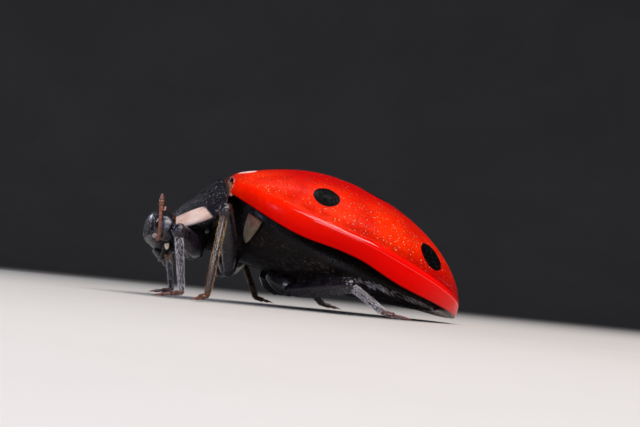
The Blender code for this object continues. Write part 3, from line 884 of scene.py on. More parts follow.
def wing_case_skin(x, turn, rim):
    """The outer skin in section (y, z): a pitted dome, a groove, a raised edge and the tucked-in rim."""
    half, crest, edge = shell_half_width(x), shell_crest(x), seam(x)
    margin = shell_margin(x) + lip_rise(x)
    point = arch(half, crest, margin, edge, turn)
    rise = max(crest - margin, 1e-6)
    normal = Vector((math.cos(turn) * rise, math.sin(turn) * half)).normalized()
    above = point.y - margin - rim
    strength = ease((x - 0.5) / 1.2) * ease((SHELL_LENGTH - x) / 0.7)
    groove = GROOVE_DEPTH * bump((above - GROOVE_ABOVE_RIDGE) / GROOVE_REACH)
    inwards = strength * (groove - RIDGE_HEIGHT * bump(above / RIDGE_REACH))
    if above < 0 and rim > 0:
        inwards += RIM_TUCK * min(rise / 0.8, 1) * clamp(-above / rim) ** 1.7
    if x < FRONT_LIP:
        inwards += 0.5 * FRONT_LIP * (1 - math.sqrt(1 - (1 - x / FRONT_LIP) ** 2))
    inwards += SEAM_ROLL * bump((point.x - edge) / SEAM_ROLL_REACH) * min(rise, 1)
    return point - normal * inwards


def wing_case_point(side, u, v):
    """A wing case from front, v 0, to tail; u goes round its section from the seam and back inside."""
    x = SHELL_LENGTH * (1 - math.cos(math.pi * v)) / 2
    crest, margin, edge = shell_crest(x), shell_margin(x) + lip_rise(x), seam(x)
    rise = max(crest - margin, 1e-6)
    rim = RIM_HEIGHT * (0.55 + 0.45 * math.sin(math.pi * clamp(x / 5.4))) - 0.6 * lip_rise(x)
    rim = min(rim, 0.5 * rise)
    lip = min(LIP_RADIUS, 0.3 * rise)
    rim_turn, lip_turn = turn_at_height(rim / rise), turn_at_height(lip / rise)
    if u >= CLOSING:
        u = 0.0
    if u < DOME_END:
        way = u / DOME_END
        way -= 0.85 * math.sin(2 * math.pi * way) / (2 * math.pi)
        y, z = wing_case_skin(x, mix(math.pi / 2, rim_turn, way), rim)
    elif u < RIM_END:
        way = ((u - DOME_END) / (RIM_END - DOME_END)) ** 1.6
        y, z = wing_case_skin(x, mix(rim_turn, lip_turn, way), rim)
    else:
        y, z = wing_case_skin(x, lip_turn, rim)
        within = x * (SHELL_LENGTH - WALL) / SHELL_LENGTH
        front = 1 - ease(x / 0.5)
        half = mix(cavity_half_width(within), shell_half_width(x) - SHELL_FRONT_WALL, front)
        crest = mix(cavity_crest(within), crest - SHELL_FRONT_WALL, front)
        if u < LIP_END:
            bend = (u - RIM_END) / (LIP_END - RIM_END) * math.pi / 2
            y, z = y - lip * (1 - math.cos(bend)), z - lip * math.sin(bend)
        elif u < SHELF_END:
            way = (u - LIP_END) / (SHELF_END - LIP_END)
            inner = arch(half, crest, margin, edge, SHELF_TURN)
            x = mix(x, within, way)
            y, z = mix(y - lip, inner.x, way), mix(z - lip, inner.y, way) + 0.05 * math.sin(math.pi * way)
        else:
            way = (u - SHELF_END) / (CLOSING - SHELF_END)
            x = within
            y, z = arch(half, crest, margin, edge, mix(SHELF_TURN, math.pi / 2, way))
    return BODY_FRAME @ Vector((x, side * max(y, edge), z))


def make_wing_cases():
    red = waxed_red_chitin()
    for name, side in SIDES:
        case = shaped_sheet(f"wing_case_{name}", 110, 150, lambda u, v: wing_case_point(side, u, v))
        finish_piece(case, red, "shell_red", f"elytron_{name}")


def over_and_under(u):
    """Across -1..1 over a plate's top and back beneath it, and the share of its thickness."""
    turn = 2 * math.pi * u
    edge = math.sqrt(clamp(abs(math.sin(turn)) / 0.3))
    return -math.cos(turn), 0.5 - 0.5 * math.copysign(edge, math.sin(turn))


def rounded_end(v, reach=0.06):
    return math.sqrt(clamp(min(v, 1 - v) / reach))


def drawn_in(deep, v, reach=0.06):
    """A share of a plate's thickness, drawn in to the middle at both ends so that they close."""
    return 0.5 + (deep - 0.5) * rounded_end(v, reach)


def make_scutellum():
    black = netted_black_chitin("netted_black_chitin_scutellum", BODY_BASE, BODY_PITCH)

    def place(u, v):
        across, deep = over_and_under(u)
        x = SCUTELLUM_LENGTH * v
        y = across * (SCUTELLUM_HALF_WIDTH * (1 - v) + 0.004)
        top = shell_crest(x) - GAP - 0.3 * y * y
        return BODY_FRAME @ Vector((x, y, top - SCUTELLUM_DEPTH * drawn_in(deep, v)))

    plate = shaped_sheet("scutellum_plate", 40, 24, place)
    finish_piece(plate, black, "cuticle_black", "scutellum")


# --- Back shield and fore chest ------------------------------------------------------------------------


def shield_point(along, across, depth):
    """The back shield in its own frame, from its hind edge, along 0, to its front edge."""
    hind, front = 0.38 * across**2, SHIELD_LENGTH + 0.28 * across**2
    reach = hind + (front - hind) * along
    half = SHIELD_HALF_WIDTH + 0.1 * math.sin(math.pi * along) - 0.42 * along**1.8
    y = across * half
    height = -SHIELD_ARCH * (y / SHIELD_HALF_WIDTH) ** 2 - 0.06 * along**2
    return Vector((-reach, y, height - depth))


def shield_thickness(along, across):
    bevel = min(along / 0.35, 1) ** 0.8
    return (0.1 + (SHIELD_THICKNESS - 0.1) * bevel) * (1 - 0.45 * across**4) * (1 - 0.3 * along**3)


def make_shield():
    cuticle = netted_black_chitin(
        "netted_black_chitin_back", SHIELD_BASE, SHIELD_DIP, shield_corners, "#D4BEB2")

    def place(u, v):
        across, deep = over_and_under(u)
        along = (1 - math.cos(math.pi * v)) / 2
        deep = drawn_in(deep, v)
        from_edge = 1 - abs(across)
        bead = 0.016 * bump((from_edge - 0.02) / 0.025) - 0.014 * bump((from_edge - 0.075) / 0.03)
        depth = shield_thickness(along, across) * deep - bead * (1 - deep)
        return SHIELD_FRAME @ shield_point(along, across, depth)

    shield = shaped_sheet("back_shield", 140, 60, place)
    finish_piece(shield, cuticle, "cuticle_black", "pronotum")


def make_fore_chest(material):
    floor_front, floor_back = -2.5 + SHIFT_X, -2.07 + SHIFT_X

    def place(u, v):
        turn = 2 * math.pi * u
        across = math.cos(turn)
        along = 0.36 + 0.52 * v
        depth = shield_thickness(along, 0.66 * across) + GAP
        roof = SHIELD_FRAME @ shield_point(along, 0.66 * across, depth)
        floor = Vector((mix(floor_back, floor_front, v), 0.9 * across, 1.34 + 0.14 * across**2))
        share = 0.5 + 0.5 * signed_power(math.sin(turn), 0.5)
        point = floor.lerp(roof, share)
        middle = floor.lerp(roof, 0.5)
        middle.y = 0
        closing = rounded_end(v, 0.12)
        return middle.lerp(point, closing)

    chest = shaped_sheet("fore_chest", 90, 40, place)
    finish_piece(chest, material, "cuticle_black", "prosternum")


def make_membranes():
    """The soft skin behind the head, at the waist, and between the back shield and the wing cases."""
    dark = joint_membrane("brown_joint_membrane", "#120A08", "#4A2412")
    amber = joint_membrane("amber_joint_membrane", "#2E140A", "#A25C2A")
    up = Vector((0, 0, 1))
    neck = Limb([HEAD_CENTRE + Vector((0.16, 0, 0.02)), Vector((-2.62 + SHIFT_X, 0, 1.55))], 0.1, up=up)

    def neck_size(v):
        pleat = 1 + 0.05 * math.sin(22 * v)
        return (mix(0.3, 0.34, v) * pleat, mix(0.66, 0.8, v) * pleat)

    collar = limb_skin("neck_membrane", neck, neck_size, columns=60, rows=60)
    finish_piece(collar, amber, "mouth_brown")
    waist = Limb([Vector((-2.3, 0, 1.86)), Vector((-1.62, 0, 1.98))], 0.1, up=up)
    girdle = limb_skin("waist_membrane", waist, lambda v: (mix(0.42, 0.4, v), mix(0.95, 1.0, v)), 60, 40)
    finish_piece(girdle, dark, "cuticle_black")

    def arch_place(u, v):
        across, deep = over_and_under(u)
        turn = math.pi * (0.5 + 0.31 * across)
        under = -0.96 * math.cos(turn)
        start = SHIELD_FRAME @ shield_point(0.06, under, 0.05)
        half, crest, margin = shell_half_width(0.2) - 0.12, shell_crest(0.2) - 0.13, shell_margin(0.2)
        arched = margin - 0.12 + (crest - margin + 0.12) * math.sin(turn) ** 0.9
        end = BODY_FRAME @ Vector((0.2, -half * math.cos(turn), arched))
        point = start.lerp(end, v)
        fold = 0.015 * math.sin(9 * math.pi * v) + 0.012 * math.sin(31 * across)
        deep = drawn_in(deep, v)
        sag = 0.05 * math.sin(math.pi * v)
        return point + Vector((0, 0, (fold - sag) * math.sin(math.pi * v) - 0.07 * deep))

    finish_piece(shaped_sheet("back_membrane", 120, 30, arch_place), amber, "mouth_brown")


# --- Chest, belly and side plates ----------------------------------------------------------------------


def trunk_point(x, turn, swell=0.0):
    """A point on the trunk at station x; turn 0 is the left flank, growing over the back."""
    half = cavity_half_width(x) - TRUNK_CLEARANCE + swell
    margin = shell_margin(x)
    roof = cavity_crest(x) - TRUNK_CLEARANCE
    belly = -TRUNK_DEPTH * (1 - max((x - 1.5) / (SHELL_LENGTH - 1.5), 0) ** 2)
    rise = math.sin(turn)
    z = margin + (roof - margin) * rise if rise > 0 else margin - (belly - margin) * rise
    if rise <= 0:
        z -= swell * abs(rise)
    return Vector((x, -half * math.cos(turn), z))


def flat_ended(v, cap=0.025):
    """The share of the length that is reached at v, and how open the section is, with flat ends."""
    return clamp((v - cap) / (1 - 2 * cap)), clamp(min(v, 1 - v) / cap)


def make_chest(material):
    start, end = CHEST_X

    def place(u, v):
        along, opened = flat_ended(v)
        x = mix(start, end, along)
        turn = 2 * math.pi * u
        point = trunk_point(x, turn)
        point.y *= mix(0.92, 1.0, ease(x / 0.4))
        point.z = min(point.z, mix(0.58, 2.0, ease((x - 0.05) / MIDDLE_CHEST_END)))
        below = clamp(-math.sin(turn))
        crease = bump((x - MIDDLE_CHEST_END) / 0.03) + 0.7 * bump(point.y / 0.04)
        point.z += 0.05 * below * min(crease, 1)
        return BODY_FRAME @ Vector((x, 0, 0.2)).lerp(point, opened)

    chest = shaped_sheet("chest_plates", 100, 90, place)
    finish_piece(chest, material, "cuticle_black", "mesothorax", "metasternum")


def make_belly(material):
    starts = [CHEST_X[1]]
    for length in ABDOMEN_SEGMENTS:
        starts.append(starts[-1] + length)
    count = len(ABDOMEN_SEGMENTS)

    def station(v):
        ring = min(int(v * count), count - 1)
        way = v * count - ring
        x = starts[ring] + ABDOMEN_SEGMENTS[ring] * min(way / 0.9, 1)
        swell = -0.035 * (1 - min(way / 0.9, 1)) ** 2 if way < 0.9 else -0.035 * (way - 0.9) / 0.1
        return x, swell

    def place(u, v):
        along, opened = flat_ended(v)
        x, swell = station(along)
        point = trunk_point(x - 0.06 * (1 - along), 2 * math.pi * u, swell)
        return BODY_FRAME @ Vector((x, 0, 0.2)).lerp(point, opened)

    belly = shaped_sheet("belly_rings", 100, 120, place)
    finish_piece(belly, material, "cuticle_black", *[f"abdomen_{i + 1}" for i in range(count)])


def make_side_plates():
    cream = pale_side_chitin()
    for name, side in SIDES:

        def place(u, v):
            across, deep = over_and_under(u)
            turn = math.radians(mix(-6, -36, v))
            narrowing = math.sqrt(1 - 0.98 * v * v)
            front, back = 0.62 - 0.17 * narrowing, 0.62 + 0.12 * narrowing * (1 - 0.5 * v)
            x = mix(front, back, 0.5 + 0.5 * across)
            deep = drawn_in(deep, v, 0.2)
            bulge = 0.1 * (1 - across * across) * (1 - deep)
            point = trunk_point(x, turn, GAP + 0.07 * (1 - deep) + bulge)
            return BODY_FRAME @ Vector((point.x, -side * point.y, point.z))

        plate = shaped_sheet(f"side_plate_{name}", 40, 40, place)
        finish_piece(plate, cream, "plate_cream", f"mesepimeron_{name}")


# --- Head ----------------------------------------------------------------------------------------------

HEAD_WRAP = math.radians(140)  # how far its skin reaches round below, from the top
LENS_CENTRE = Vector((0.03, 0.79, 0.1))
LENS_RADII = Vector((0.22, 0.21, 0.27))
FEELER_PIT = Vector((-0.12, 0.86, -0.13))


def near_eye(point):
    """How far a place is from the nearer eye's middle, in eye radii."""
    offset = Vector((point.x, abs(point.y), point.z)) - LENS_CENTRE
    return Vector((offset.x / LENS_RADII.x, offset.y / LENS_RADII.y, offset.z / LENS_RADII.z)).length


def head_point(u, v):
    """The head in its own frame: domed above, with eye sockets and a face that slopes back to the mouth."""
    polar = HEAD_WRAP * min(v / 0.93, 1)
    closing = clamp((1 - v) / 0.07) ** 0.6
    reach = math.sin(polar) ** 0.85
    turn = 2 * math.pi * u
    x = HEAD_HALF_DEPTH * reach * signed_power(math.cos(turn), 0.8)
    y = HEAD_HALF_WIDTH * reach * signed_power(math.sin(turn), 0.9)
    z = HEAD_HALF_HEIGHT * math.cos(polar)
    lower = ease((-z - 0.02) / 0.42)
    y *= 1 - 0.34 * lower
    if x < 0:
        front = clamp(-x / 0.2)
        x += front * 0.045 * bump(y / 0.3) * bump((z - 0.08) / 0.2)
        x += front * 0.022 * bump(y / 0.4) * bump((z + 0.2) / 0.025)
    x += 0.2 * lower
    point = Vector((x * closing, y * closing, z - 0.03 * (1 - closing)))
    socket = 1 - clamp((near_eye(point) - 0.98) / 0.16)
    pit = bump((Vector((point.x, abs(point.y), point.z)) - FEELER_PIT).length / 0.09)
    return point * (1 - 0.07 * socket - 0.05 * pit)


def lens_ball(name):
    """A ball whose skin is parted into six-sided lenses, one round each corner of a fine icosphere."""
    deselect()
    bpy.ops.mesh.primitive_ico_sphere_add(subdivisions=4, radius=1)
    ball = bpy.context.object
    seed = bmesh.new()
    seed.from_mesh(ball.data)
    seed.faces.ensure_lookup_table()
    centres = [face.calc_center_median().normalized() for face in seed.faces]
    lenses = []
    for corner in seed.verts:
        axis = corner.co.normalized()
        side = axis.orthogonal().normalized()
        other = axis.cross(side)
        ring = sorted((face.index for face in corner.link_faces),
                      key=lambda i: math.atan2(centres[i].dot(other), centres[i].dot(side)))
        lenses.append(ring)
    seed.free()
    bpy.data.objects.remove(ball, do_unlink=True)
    mesh = bpy.data.meshes.new(name)
    mesh.from_pydata(centres, [], lenses)
    return placed(name, mesh)


def make_eyes():
    black = lens_black()
    for name, side in SIDES:
        eye = lens_ball(f"compound_eye_{name}")
        centre = Vector((LENS_CENTRE.x, side * LENS_CENTRE.y, LENS_CENTRE.z))
        for vertex in eye.data.vertices:
            scaled = Vector(a * b for a, b in zip(vertex.co, LENS_RADII))
            vertex.co = HEAD_FRAME @ (centre + scaled) * MM
        select_only(eye)
        bpy.ops.object.mode_set(mode="EDIT")
        bpy.ops.mesh.select_all(action="SELECT")
        bpy.ops.mesh.inset(thickness=0.003 * MM, depth=0.0016 * MM, use_individual=True)
        bpy.ops.mesh.inset(thickness=0.004 * MM, depth=0.001 * MM, use_individual=True)
        bpy.ops.mesh.select_all(action="SELECT")
        bpy.ops.mesh.normals_make_consistent(inside=False)
        bpy.ops.object.mode_set(mode="OBJECT")
        bpy.ops.object.shade_smooth()
        finish_piece(eye, black, "eye_black", f"eye_{name}")


def bead_radius(beads):
    """A radius along a string of beads, each (share where it ends, radius at its root, at its end)."""

    def radius(v):
        start = 0.0
        for end, root, tip in beads:
            if v <= end or end == beads[-1][0]:
                way = clamp((v - start) / (end - start))
                neck = 1 - 0.3 * bump(way / 0.12) - 0.2 * bump((1 - way) / 0.1)
                size = mix(root, tip, way) * neck
                return size, size
            start = end

    return radius


def make_feelers(horn):
    # A stout joint and a short one, six slender ones, and a club of three.
    beads = [(0.16, 0.048, 0.056), (0.23, 0.04, 0.042)]
    beads += [(0.23 + 0.075 * i, 0.026 + 0.001 * i, 0.031 + 0.001 * i) for i in range(1, 7)]
    beads += [(0.78, 0.036, 0.05), (0.88, 0.05, 0.062), (1.0, 0.062, 0.034)]
    for name, side in SIDES:
        limb = Limb(outward(FEELERS[name], side), 0.16, up=Vector((0, 0, 1)))
        piece = limb_skin(f"feeler_{name}", limb, bead_radius(beads), 16, 150, ends=(0.03, 0.04))
        finish_piece(piece, horn, "mouth_brown", f"antenna_{name}")


def make_palps(horn):
    """Each ends in a flat hatchet-shaped segment."""
    beads = bead_radius(((0.24, 0.04, 0.05), (0.46, 0.042, 0.056), (0.64, 0.045, 0.055), (1.0, 0.045, 0.06)))

    def size(v):
        high, wide = beads(v)
        hatchet = ease((v - 0.64) / 0.3)
        return high * (1 - 0.35 * hatchet), wide + 0.075 * hatchet

    for name, side in SIDES:
        limb = Limb(outward(PALPS, side), 0.12, up=Vector((1, 0, 0.4)))
        piece = limb_skin(f"palp_{name}_finished", limb, size, 24, 80, ends=(0.03, 0.025))
        finish_piece(piece, horn, "mouth_brown", f"palp_{name}")


def make_mouth(material):
    """The upper lip and the jaws that close behind it."""

    def lip(u, v):
        turn = 2 * math.pi * u
        closing = rounded_end(v, 0.2)
        wide, deep = mix(0.36, 0.27, v**2) * closing, mix(0.07, 0.045, v) * closing
        notch = 0.04 * bump(math.sin(turn) / 0.25) * v
        x, y = deep * math.cos(turn), wide * signed_power(math.sin(turn), 0.8)
        return HEAD_FRAME @ Vector((mix(-0.16, -0.06, v) + x + 0.5 * y * y, y, mix(-0.32, -0.52, v) + notch))

    finish_piece(shaped_sheet("upper_lip", 60, 30, lip), material, "cuticle_black", "labrum")
    for name, side in SIDES:
        route = ((0.12, 0.6, -0.12), (0.08, 0.69, -0.27), (-0.01, 0.42, -0.5), (-0.06, 0.06, -0.57))
        jaw = Limb([HEAD_FRAME @ Vector((x, side * y, z)) for x, y, z in route], 0.16, up=Vector((0, 0, 1)))

        def size(v):
            thick = mix(0.125, 0.035, v**0.9)
            return thick * 0.85, thick

        piece = limb_skin(f"jaw_{name}", jaw, size, 24, 50, ends=(0.08, 0.05))
        finish_piece(piece, material, "plate_cream", f"mandible_{name}")


def make_lower_lip(horn):
    """The lobe that closes the mouth behind the jaws."""
    route = [HEAD_FRAME @ Vector(place) for place in ((0.16, 0, -0.2), (0.13, 0, -0.42), (0.06, 0, -0.56))]
    lobe = Limb(route, 0.1, up=Vector((1, 0, 0)))

    def size(v):
        return mix(0.13, 0.07, v), mix(0.46, 0.24, v)

    piece = limb_skin("lower_lip", lobe, size, 40, 40, ends=(0.06, 0.09))
    finish_piece(piece, horn, "mouth_brown")


def make_head():
    cuticle = netted_black_chitin("netted_black_chitin_face", HEAD_CENTRE, HEAD_TILT, face_spots, "#8E867E")
    jaws = netted_black_chitin("netted_black_chitin_jaws", HEAD_CENTRE, HEAD_TILT, jaw_spots, "#F0DFC0")
    head = shaped_sheet("head_capsule", 150, 90, lambda u, v: HEAD_FRAME @ head_point(u, v))
    finish_piece(head, cuticle, "cuticle_black", "head")
    make_eyes()
    make_mouth(jaws)
    make_feelers(amber_horn("amber_feeler_horn", "#80482A", "#4C221A", 0.6))
    make_lower_lip(amber_horn("dark_lip_horn", "#1E120C", "#3A2214", 0.7))
    make_palps(amber_horn("brown_palp_horn", "#6A3E20", "#241410", 0.4))


# --- Legs ----------------------------------------------------------------------------------------------

HIP_HALF = 0.13
THIGH_HALF = {"front": 0.215, "middle": 0.205, "hind": 0.2}
KNEE_HALF = 0.165
SHIN_HALF = {"front": (0.08, 0.058), "middle": (0.078, 0.07), "hind": (0.078, 0.07)}
KNEE_DROP = {"front": 0.0, "middle": 0.18, "hind": 0.04}
COXA_HALF = {"front": (0.3, 0.24), "middle": (0.3, 0.26), "hind": (0.26, 0.36)}

# Each part's stretch of the way along the whole leg, and the lengths over which its ends are rounded.
LEG_SPANS = {"coxa": (0, 0.15), "thigh": (0.15, 0.5), "shin": (0.5, 0.8), "foot": (0.8, 1)}
LEG_ENDS = {"coxa": (0.1, 0.3), "thigh": (0.12, 0.16), "shin": (0.05, 0.04), "foot": (0.03, 0.03)}

# Share of a foot's length where each joint starts and ends, and its radius at its root and at its end.
FOOT_JOINTS = ((0, 0.3, 0.045, 0.08), (0.3, 0.58, 0.048, 0.098), (0.58, 1.01, 0.028, 0.04))

# Part, share of its length where hairs start and end, how many, shortest and longest, least and most lean.
HAIRY = (
    ("thigh", (0.25, 0.97), 460, (0.045, 0.075), (60, 76)),
    ("shin", (0.04, 0.98), 1200, (0.045, 0.075), (46, 66)),
    ("foot", (0.04, 0.92), 240, (0.03, 0.05), (48, 70)),
)


def thigh_size(pair):
    """A flattened spindle that stays thick up to its rounded knee."""

    def radius(v):
        thickest = THIGH_HALF[pair]
        if v < 0.45:
            size = mix(HIP_HALF, thickest, ease(v / 0.45))
        else:
            size = mix(thickest, KNEE_HALF, ease((v - 0.5) / 0.5))
        size -= 0.03 * bump((v - 0.11) / 0.025)
        return size, size * 0.84

    return radius


def shin_size(pair):
    def radius(v):
        size = mix(*SHIN_HALF[pair], v) * (1 - 0.3 * bump(v / 0.06) - 0.25 * ease((v - 0.95) / 0.05))
        return size, size * 0.88

    return radius


def foot_size(v):
    """A narrow joint, a broad two-lobed one, and the thin one that carries the claws."""
    for start, end, root, tip in FOOT_JOINTS:
        if v < end:
            step = (v - start) / (end - start)
            size = mix(root, tip, step) * (1 - 0.35 * ease((step - 0.85) / 0.15))
            return min(size, 0.055), size


def leg_hair_places(limb, radius, span, hairy, chance):
    """Hairs all round one part of a leg, except by the floor, lying towards its tip."""
    _, (start, end), count, lengths, leans = hairy
    places, roots = [], []
    for _ in range(count):
        v = mix(start, end, chance.random())
        turn = 2 * math.pi * chance.random()
        centre, (forward, up, across) = limb.at(v)
        high, wide = radius(v)
        out = math.sin(turn) * up + math.cos(turn) * across
        skin = centre + 0.93 * (high * math.sin(turn) * up + wide * math.cos(turn) * across)
        length = mix(*lengths, chance.random())
        lean = math.radians(mix(*leans, chance.random()))
        if skin.z < 0.03:
            continue
        places.append(standing(skin, out, forward, lean, length))
        roots.append((turn / (2 * math.pi), mix(*span, v)))
    return places, roots


def claw_places(foot, level):
    """Where a foot's two claws stand, spread to both sides and bent towards the floor."""
    end, _ = foot.at(0.97)
    up = Vector((0, 0, 1))
    places = []
    for spread in (-1, 1):
        out = level + 0.5 * spread * level.cross(up) + Vector((0, 0, 0.25))
        places.append(standing(end, out, -up, math.radians(6), 0.15, 0.85))
    return places


def make_leg(pair, name, side, finishes, chance):
    """One leg in a single skin from coxa to foot, then its two claws and its hairs."""
    root, hip, knee, ankle, toe = outward(HIPS[pair] + REACH[pair][name], side)
    above = Vector((0, 0, 1))
    knee = knee.lerp((hip + ankle) / 2, KNEE_DROP[pair])
    along_thigh = (knee - hip).normalized()
    bow = 0.05 * along_thigh.cross(above).normalized()
    lines = {
        "coxa": [root.lerp(hip, 0.2) + Vector((0, 0, 0.42)), hip + Vector((0, 0, -0.06))],
        "thigh": [hip - 0.08 * along_thigh, hip.lerp(knee, 0.5) + side * bow, knee + 0.1 * along_thigh],
        "shin": [knee - 0.02 * along_thigh, knee.lerp(ankle, 0.5), ankle - Vector((0, 0, 0.02))],
        "foot": [ankle + Vector((0, 0, 0.05)), ankle - Vector((0, 0, 0.03)), toe],
    }
    sizes = {
        "coxa": lambda v: [half * mix(1.0, 0.72, ease(v)) for half in COXA_HALF[pair]],
        "thigh": thigh_size(pair),
        "shin": shin_size(pair),
        "foot": foot_size,
    }
    level = Vector((toe.x - ankle.x, toe.y - ankle.y, 0)).normalized()
    tops = {"coxa": Vector((0, side, 0)), "thigh": above, "shin": above, "foot": level}
    limbs = {part: Limb(line, 0.3, up=tops[part], samples=60) for part, line in lines.items()}
    skins = [
        limb_skin(f"{pair}_{part}_skin_{name}", limb, sizes[part], 20, 70, LEG_ENDS[part], LEG_SPANS[part])
        for part, limb in limbs.items()
    ]
    solids = [f"{pair}_{part}_{name}" for part in ("coxa", "femur", "tibia", "tarsus")]
    finish_piece(joined(f"{pair}_leg_{name}", skins), finishes["leg"], "leg_black", *solids)

    claws = plant(f"{pair}_claws_{name}", finishes["claw shape"], claw_places(limbs["foot"], level))
    finish_piece(claws, finishes["claw"], "mouth_brown")

    places, roots = [], []
    for hairy in HAIRY:
        part = hairy[0]
        more_places, more_roots = leg_hair_places(limbs[part], sizes[part], LEG_SPANS[part], hairy, chance)
        places += more_places
        roots += more_roots
    hairs = plant(f"{pair}_leg_hairs_{name}", finishes["hair shape"], places, roots)
    finish_piece(hairs, finishes[f"{pair} hair"], "leg_black")


def make_legs(hair, hair_shape):
    finishes = {
        "leg": leg_chitin(),
        "front hair": hair,
        "middle hair": bristle_horn("golden_hair_horn", "#C8A878", "#7C5630"),
        "hind hair": hair,
        "claw": bristle_horn("red_brown_claw_horn", "#7A3420", "#4A1E14"),
        "hair shape": hair_shape,
        "claw shape": tapered_horn(10, 7, 0.17, 0.42),
    }
    for number, pair in enumerate(HIPS):
        for name, side in SIDES:
            make_leg(pair, name, side, finishes, random.Random(number * 2 + (side > 0)))


# --- Hairs of the body ---------------------------------------------------------------------------------

BELLY_HAIRS = 2200
FRINGE_HAIRS = 420
FACE_HAIRS = 260


def belly_hair_places(stations, turns, count, lengths, leans, chance):
    """Hairs on the trunk between two stations and two turns, in degrees, lying towards the tail."""
    places, roots = [], []
    for _ in range(count):
        x = mix(*stations, chance.random())
        turn = math.radians(mix(*turns, chance.random()))
        if chance.random() < 0.5:
            turn = -math.pi - turn
        here, ahead = trunk_point(x, turn), trunk_point(x + 0.05, turn)
        out = (trunk_point(x, turn + 0.05) - here).cross(ahead - here)
        if out.dot(here - Vector((x, 0, 0.5))) < 0:
            out = -out
        length = mix(*lengths, chance.random())
        lean = math.radians(mix(*leans, chance.random()))
        places.append(BODY_FRAME @ standing(here, out, ahead - here, lean, length))
        roots.append((x / SHELL_LENGTH, clamp(-turn / math.pi)))
    return places, roots


def make_body_hairs(pale_hair, hair_shape):
    chance = random.Random(7)
    brown = bristle_horn("brown_hair_horn", "#5E4A3A", "#2A1E16")
    places, roots = belly_hair_places((0.15, 5.2), (-90, -12), BELLY_HAIRS, (0.05, 0.09), (62, 76), chance)
    finish_piece(plant("belly_hairs", hair_shape, places, roots), brown, "leg_black")
    places, roots = belly_hair_places((2.9, 5.35), (-24, -8), FRINGE_HAIRS, (0.07, 0.13), (35, 60), chance)
    finish_piece(plant("flank_fringe", hair_shape, places, roots), pale_hair, "leg_black")


def make_face_hairs(hair, hair_shape):
    """Short hairs on the face between the eyes, pointing at the mouth."""
    chance = random.Random(21)
    places, roots = [], []
    while len(places) < FACE_HAIRS:
        u, v = mix(0.28, 0.72, chance.random()), mix(0.3, 0.72, chance.random())
        here, below = head_point(u, v), head_point(u, v + 0.01)
        out = (below - here).cross(head_point(u + 0.01, v) - here)
        if out.x > 0:
            out = -out
        length, lean = mix(0.025, 0.045, chance.random()), math.radians(mix(58, 74, chance.random()))
        if near_eye(here) > 1.12:
            places.append(HEAD_FRAME @ standing(here, out, below - here, lean, length))
            roots.append((u, v))
    finish_piece(plant("face_hairs", hair_shape, places, roots), hair, "cuticle_black")


# --- Stage, lights and camera --------------------------------------------------------------------------

FLOOR_RADIUS = 180
SWEEP = 110
SWEEP_STEPS = 10
LIGHTS_AIM = Vector((0, 0, 1.5))


def make_floor():
    """A round board whose edge sweeps up, a hair below the feet."""
    deselect()
    reach = 0.95 * FLOOR_RADIUS
    bpy.ops.mesh.primitive_circle_add(vertices=96, radius=reach * MM, fill_type="NGON",
                                      location=(0, 0, -0.004 * MM))
    floor = bpy.context.object
    floor.name = floor.data.name = "floor_board"
    bpy.ops.object.transform_apply(location=True, rotation=False, scale=False)
    bpy.ops.object.mode_set(mode="EDIT")
    bpy.ops.mesh.select_mode(type="EDGE")
    bpy.ops.mesh.select_all(action="SELECT")
    bpy.ops.mesh.region_to_loop()
    one_bend = math.pi / 2 / (SWEEP_STEPS - 1)
    for step in range(SWEEP_STEPS):
        bend = step * one_bend
        wider = FLOOR_RADIUS + SWEEP * math.sin(bend)
        rise = SWEEP * (math.cos(max(bend - one_bend, 0)) - math.cos(bend)) * MM
        bpy.ops.mesh.extrude_edges_move(TRANSFORM_OT_translate={"value": (0, 0, rise)})
        grow = wider / reach
        bpy.ops.transform.resize(value=(grow, grow, 1), center_override=(0, 0, 0))
        reach = wider
    bpy.ops.object.mode_set(mode="OBJECT")
    bpy.ops.object.shade_smooth_by_angle(angle=math.radians(30))
    floor.data.materials.append(matt_paint())


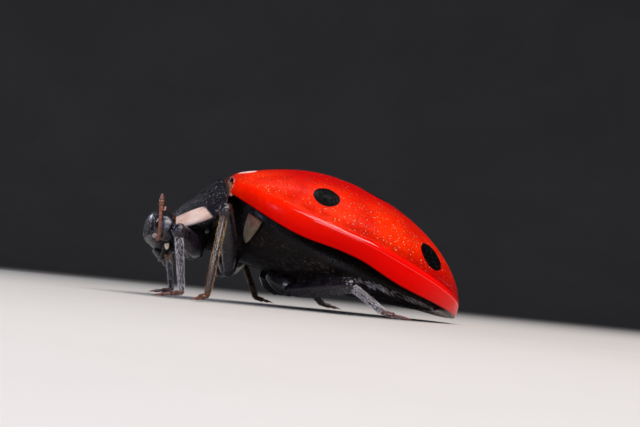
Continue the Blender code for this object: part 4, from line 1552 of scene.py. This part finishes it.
def add_light(name, place, size, watts, colour):
    light = bpy.data.lights.new(name, "AREA")
    light.shape = "RECTANGLE"
    light.size, light.size_y = size[0] * MM, size[1] * MM
    light.energy = watts
    light.color = linear(colour)[:3]
    lamp = placed(name, light)
    lamp.location = Vector(place) * MM
    lamp.rotation_euler = (LIGHTS_AIM - Vector(place)).to_track_quat("-Z", "Y").to_euler()


def make_lights():
    add_light("long_softbox", (6, -22, 36), (56, 12), 0.024, "#FFF6EE")
    add_light("top_softbox", (4, 8, 44), (40, 6), 0.007, "#F8F8FF")
    add_light("front_strip", (-38, -20, 14), (4, 8), 0.006, "#D2DCFF")
    add_light("low_strip", (4, -40, 12), (30, 2.5), 0.007, "#E4E8FF")
    add_light("back_strip", (-18, 38, 15), (8, 4), 0.0015, "#E8ECFF")
    world = bpy.data.worlds.new("dark_grey_room")
    world.use_nodes = True
    back = world.node_tree.nodes["Background"]
    back.inputs["Color"].default_value = linear("#2E3036")
    back.inputs["Strength"].default_value = 1.0
    bpy.context.scene.world = world


def make_camera():
    """Just above the floor, a little ahead of the insect's left side, leaning as on a sloping leaf."""
    place = Vector((-5.04, -23.385, 0.36))
    yaw, pitch, roll = math.radians(-12.83), math.radians(4.35), math.radians(5.6)
    forward = Vector((-math.sin(yaw) * math.cos(pitch), math.cos(yaw) * math.cos(pitch), math.sin(pitch)))
    camera = bpy.data.cameras.new("low_side_camera")
    camera.sensor_width = 36
    camera.lens = 59.7
    camera.clip_start, camera.clip_end = 1 * MM, 2.0
    holder = placed("low_side_camera", camera)
    holder.location = place * MM
    leaning = Matrix.Rotation(roll, 3, "Z").to_quaternion()
    holder.rotation_euler = (forward.to_track_quat("-Z", "Y") @ leaning).to_euler()
    bpy.context.scene.camera = holder
    bpy.context.scene.view_settings.view_transform = "Standard"


def build():
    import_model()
    make_camera()
    trunk = trunk_chitin()
    make_wing_cases()
    make_scutellum()
    make_shield()
    make_fore_chest(trunk)
    make_membranes()
    make_chest(trunk)
    make_belly(trunk)
    make_side_plates()
    make_head()
    hair = bristle_horn("pale_hair_horn", "#D8D4DA", "#8C8288")
    hair_shape = tapered_horn(3, 3, 0.034, 0.16, tip=0.05)
    make_legs(hair, hair_shape)
    make_body_hairs(hair, hair_shape)
    make_face_hairs(hair, hair_shape)
    make_floor()
    make_lights()


build()
